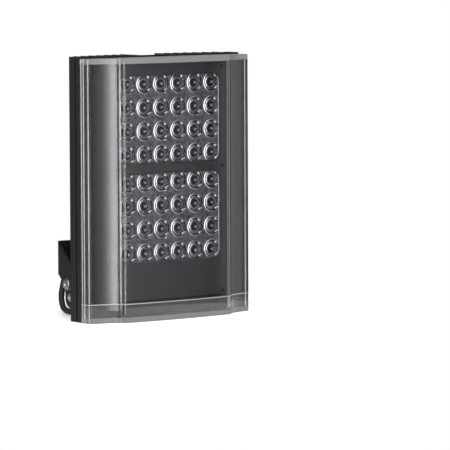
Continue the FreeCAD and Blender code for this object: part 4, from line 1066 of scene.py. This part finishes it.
for look, names in NODE_LOOKS.items():
    for name in names:
        dress(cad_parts[name], look)
for shell in (cover, end_cap):
    for look in (clear_plastic, end_band_painted_light, edge_painted_highlight):
        shell.data.materials.append(look)
for tray in arrays:
    for look in (lens_plate, lens_wall, lens_ledge, lens_rim):
        tray.data.materials.append(look)
for screws in steel_screws:
    dress(screws, zinc_steel)
dress(bezel_screws, black_zinc_and_recess_shade)
dress(gland_nut, matt_plastic)
for piece in [lead, sleeve] + ties:
    dress(piece, lead_rubber)


# Floor

FLOOR_RADIUS = 200.0
FLOOR_CENTRE = 30.0
FLOOR_LEVEL = -0.3
FLOOR_STEPS = 96
FLOOR_COLOR = (0.86, 0.86, 0.86)
FLOOR_GLOW = 0.25


def math_node(tree, operation, first, second):
    """The output of a Math node. Each input is another node's output or a plain number."""
    node = tree.nodes.new("ShaderNodeMath")
    node.operation = operation
    for socket, value in zip(node.inputs, (first, second)):
        if isinstance(value, float):
            socket.default_value = value
        else:
            tree.links.new(value, socket)
    return node.outputs[0]


def seen_straight(tree):
    """1 for camera rays and for those that only glass has passed on, 0 once a surface has turned them."""
    path = tree.nodes.new("ShaderNodeLightPath")
    turns = math_node(tree, "ADD", path.outputs["Diffuse Depth"], path.outputs["Glossy Depth"])
    return math_node(tree, "LESS_THAN", turns, 0.5)


def seen_rays(tree):
    """1 for rays that show the surface to the camera, straight, through glass or in a reflection."""
    path = tree.nodes.new("ShaderNodeLightPath")
    return math_node(tree, "MAXIMUM", seen_straight(tree), path.outputs["Is Glossy Ray"])


def floor_paper():
    """White paper that glows a little where it is seen, so that it stays white where nothing shades it."""
    look = bpy.data.materials.new("floor_paper")
    look.use_nodes = True
    tree = look.node_tree
    tree.nodes.clear()
    output = tree.nodes.new("ShaderNodeOutputMaterial")
    diffuse = tree.nodes.new("ShaderNodeBsdfDiffuse")
    diffuse.inputs["Color"].default_value = (*FLOOR_COLOR, 1.0)
    glow = tree.nodes.new("ShaderNodeEmission")
    tree.links.new(math_node(tree, "MULTIPLY", seen_rays(tree), FLOOR_GLOW), glow.inputs["Strength"])
    both = tree.nodes.new("ShaderNodeAddShader")
    tree.links.new(diffuse.outputs[0], both.inputs[0])
    tree.links.new(glow.outputs[0], both.inputs[1])
    tree.links.new(both.outputs[0], output.inputs["Surface"])
    return look


def make_stage():
    """A plain round sheet of white paper under the object."""
    points = []
    for step in range(FLOOR_STEPS):
        angle = 2.0 * math.pi * step / FLOOR_STEPS
        y = FLOOR_CENTRE + FLOOR_RADIUS * math.sin(angle)
        points.append((FLOOR_RADIUS * math.cos(angle), y, FLOOR_LEVEL))
    surface = Surface()
    surface.face(surface.ring(points))
    floor = surface.mesh("floor")
    floor.data.materials.append(floor_paper())


# Studio and light

# Brightness of the studio at each azimuth; 0 is in front of the object, and 90 is towards X
STUDIO = [
    (-180.0, 0.5), (-100.0, 0.5), (-78.0, 0.9), (-60.0, 2.8), (-44.0, 5.2), (-30.0, 5.2), (-20.0, 4.4),
    (-10.0, 2.2), (-2.0, 1.1), (6.0, 0.7), (16.0, 0.5), (26.0, 0.3), (40.0, 0.18), (46.0, 0.08),
    (52.0, 0.5), (60.0, 0.75), (72.0, 0.6), (90.0, 0.48), (128.0, 0.4), (180.0, 0.5),
]
LIGHT_AIM = Vector((0.0, 0.0, 0.125))


def studio_level(tree):
    """The brightness of the studio in each direction, from a ramp round the compass."""
    place = tree.nodes.new("ShaderNodeTexCoord")
    parts = tree.nodes.new("ShaderNodeSeparateXYZ")
    tree.links.new(place.outputs["Generated"], parts.inputs[0])
    front = math_node(tree, "MULTIPLY", parts.outputs["Y"], -1.0)
    compass = math_node(tree, "ARCTAN2", parts.outputs["X"], front)
    turn = tree.nodes.new("ShaderNodeMapRange")
    turn.inputs["From Min"].default_value = -math.pi
    turn.inputs["From Max"].default_value = math.pi
    tree.links.new(compass, turn.inputs["Value"])
    ramp = tree.nodes.new("ShaderNodeValToRGB")
    stops = ramp.color_ramp.elements
    brightest = max(level for _, level in STUDIO)
    for index, (azimuth, level) in enumerate(STUDIO):
        # A new ramp has two stops
        stop = stops[index] if index < 2 else stops.new(1.0)
        stop.position = (azimuth + 180.0) / 360.0
        share = level / brightest
        stop.color = (share, share, share, 1.0)
    tree.links.new(turn.outputs["Result"], ramp.inputs["Fac"])
    return math_node(tree, "MULTIPLY", ramp.outputs["Color"], brightest)


def make_world():
    """A studio that is brightest at the front left, and plain white to the camera."""
    world = bpy.data.worlds.new("World")
    bpy.context.scene.world = world
    world.use_nodes = True
    tree = world.node_tree
    background = tree.nodes["Background"]
    background.inputs["Color"].default_value = (1.0, 1.0, 1.0, 1.0)
    choose = tree.nodes.new("ShaderNodeMix")
    tree.links.new(seen_straight(tree), choose.inputs["Factor"])
    tree.links.new(studio_level(tree), choose.inputs["A"])
    choose.inputs["B"].default_value = 1.0
    tree.links.new(choose.outputs["Result"], background.inputs["Strength"])


def add_light(name, azimuth, elevation, distance, width, height, power):
    """A soft box that looks at the object's middle from one direction."""
    back = direction(math.radians(azimuth), math.radians(elevation))
    data = bpy.data.lights.new(name, "AREA")
    data.shape = "RECTANGLE"
    data.size = width
    data.size_y = height
    data.energy = power
    light = add_object(name, data)
    light.rotation_mode = "QUATERNION"
    light.rotation_quaternion = back.to_track_quat("Z", "Y")
    light.location = LIGHT_AIM + back * distance


make_stage()
make_world()
add_light("top_box", azimuth=20.0, elevation=70.0, distance=1.8, width=1.2, height=1.2, power=10.0)
bpy.context.scene.view_settings.view_transform = "Standard"
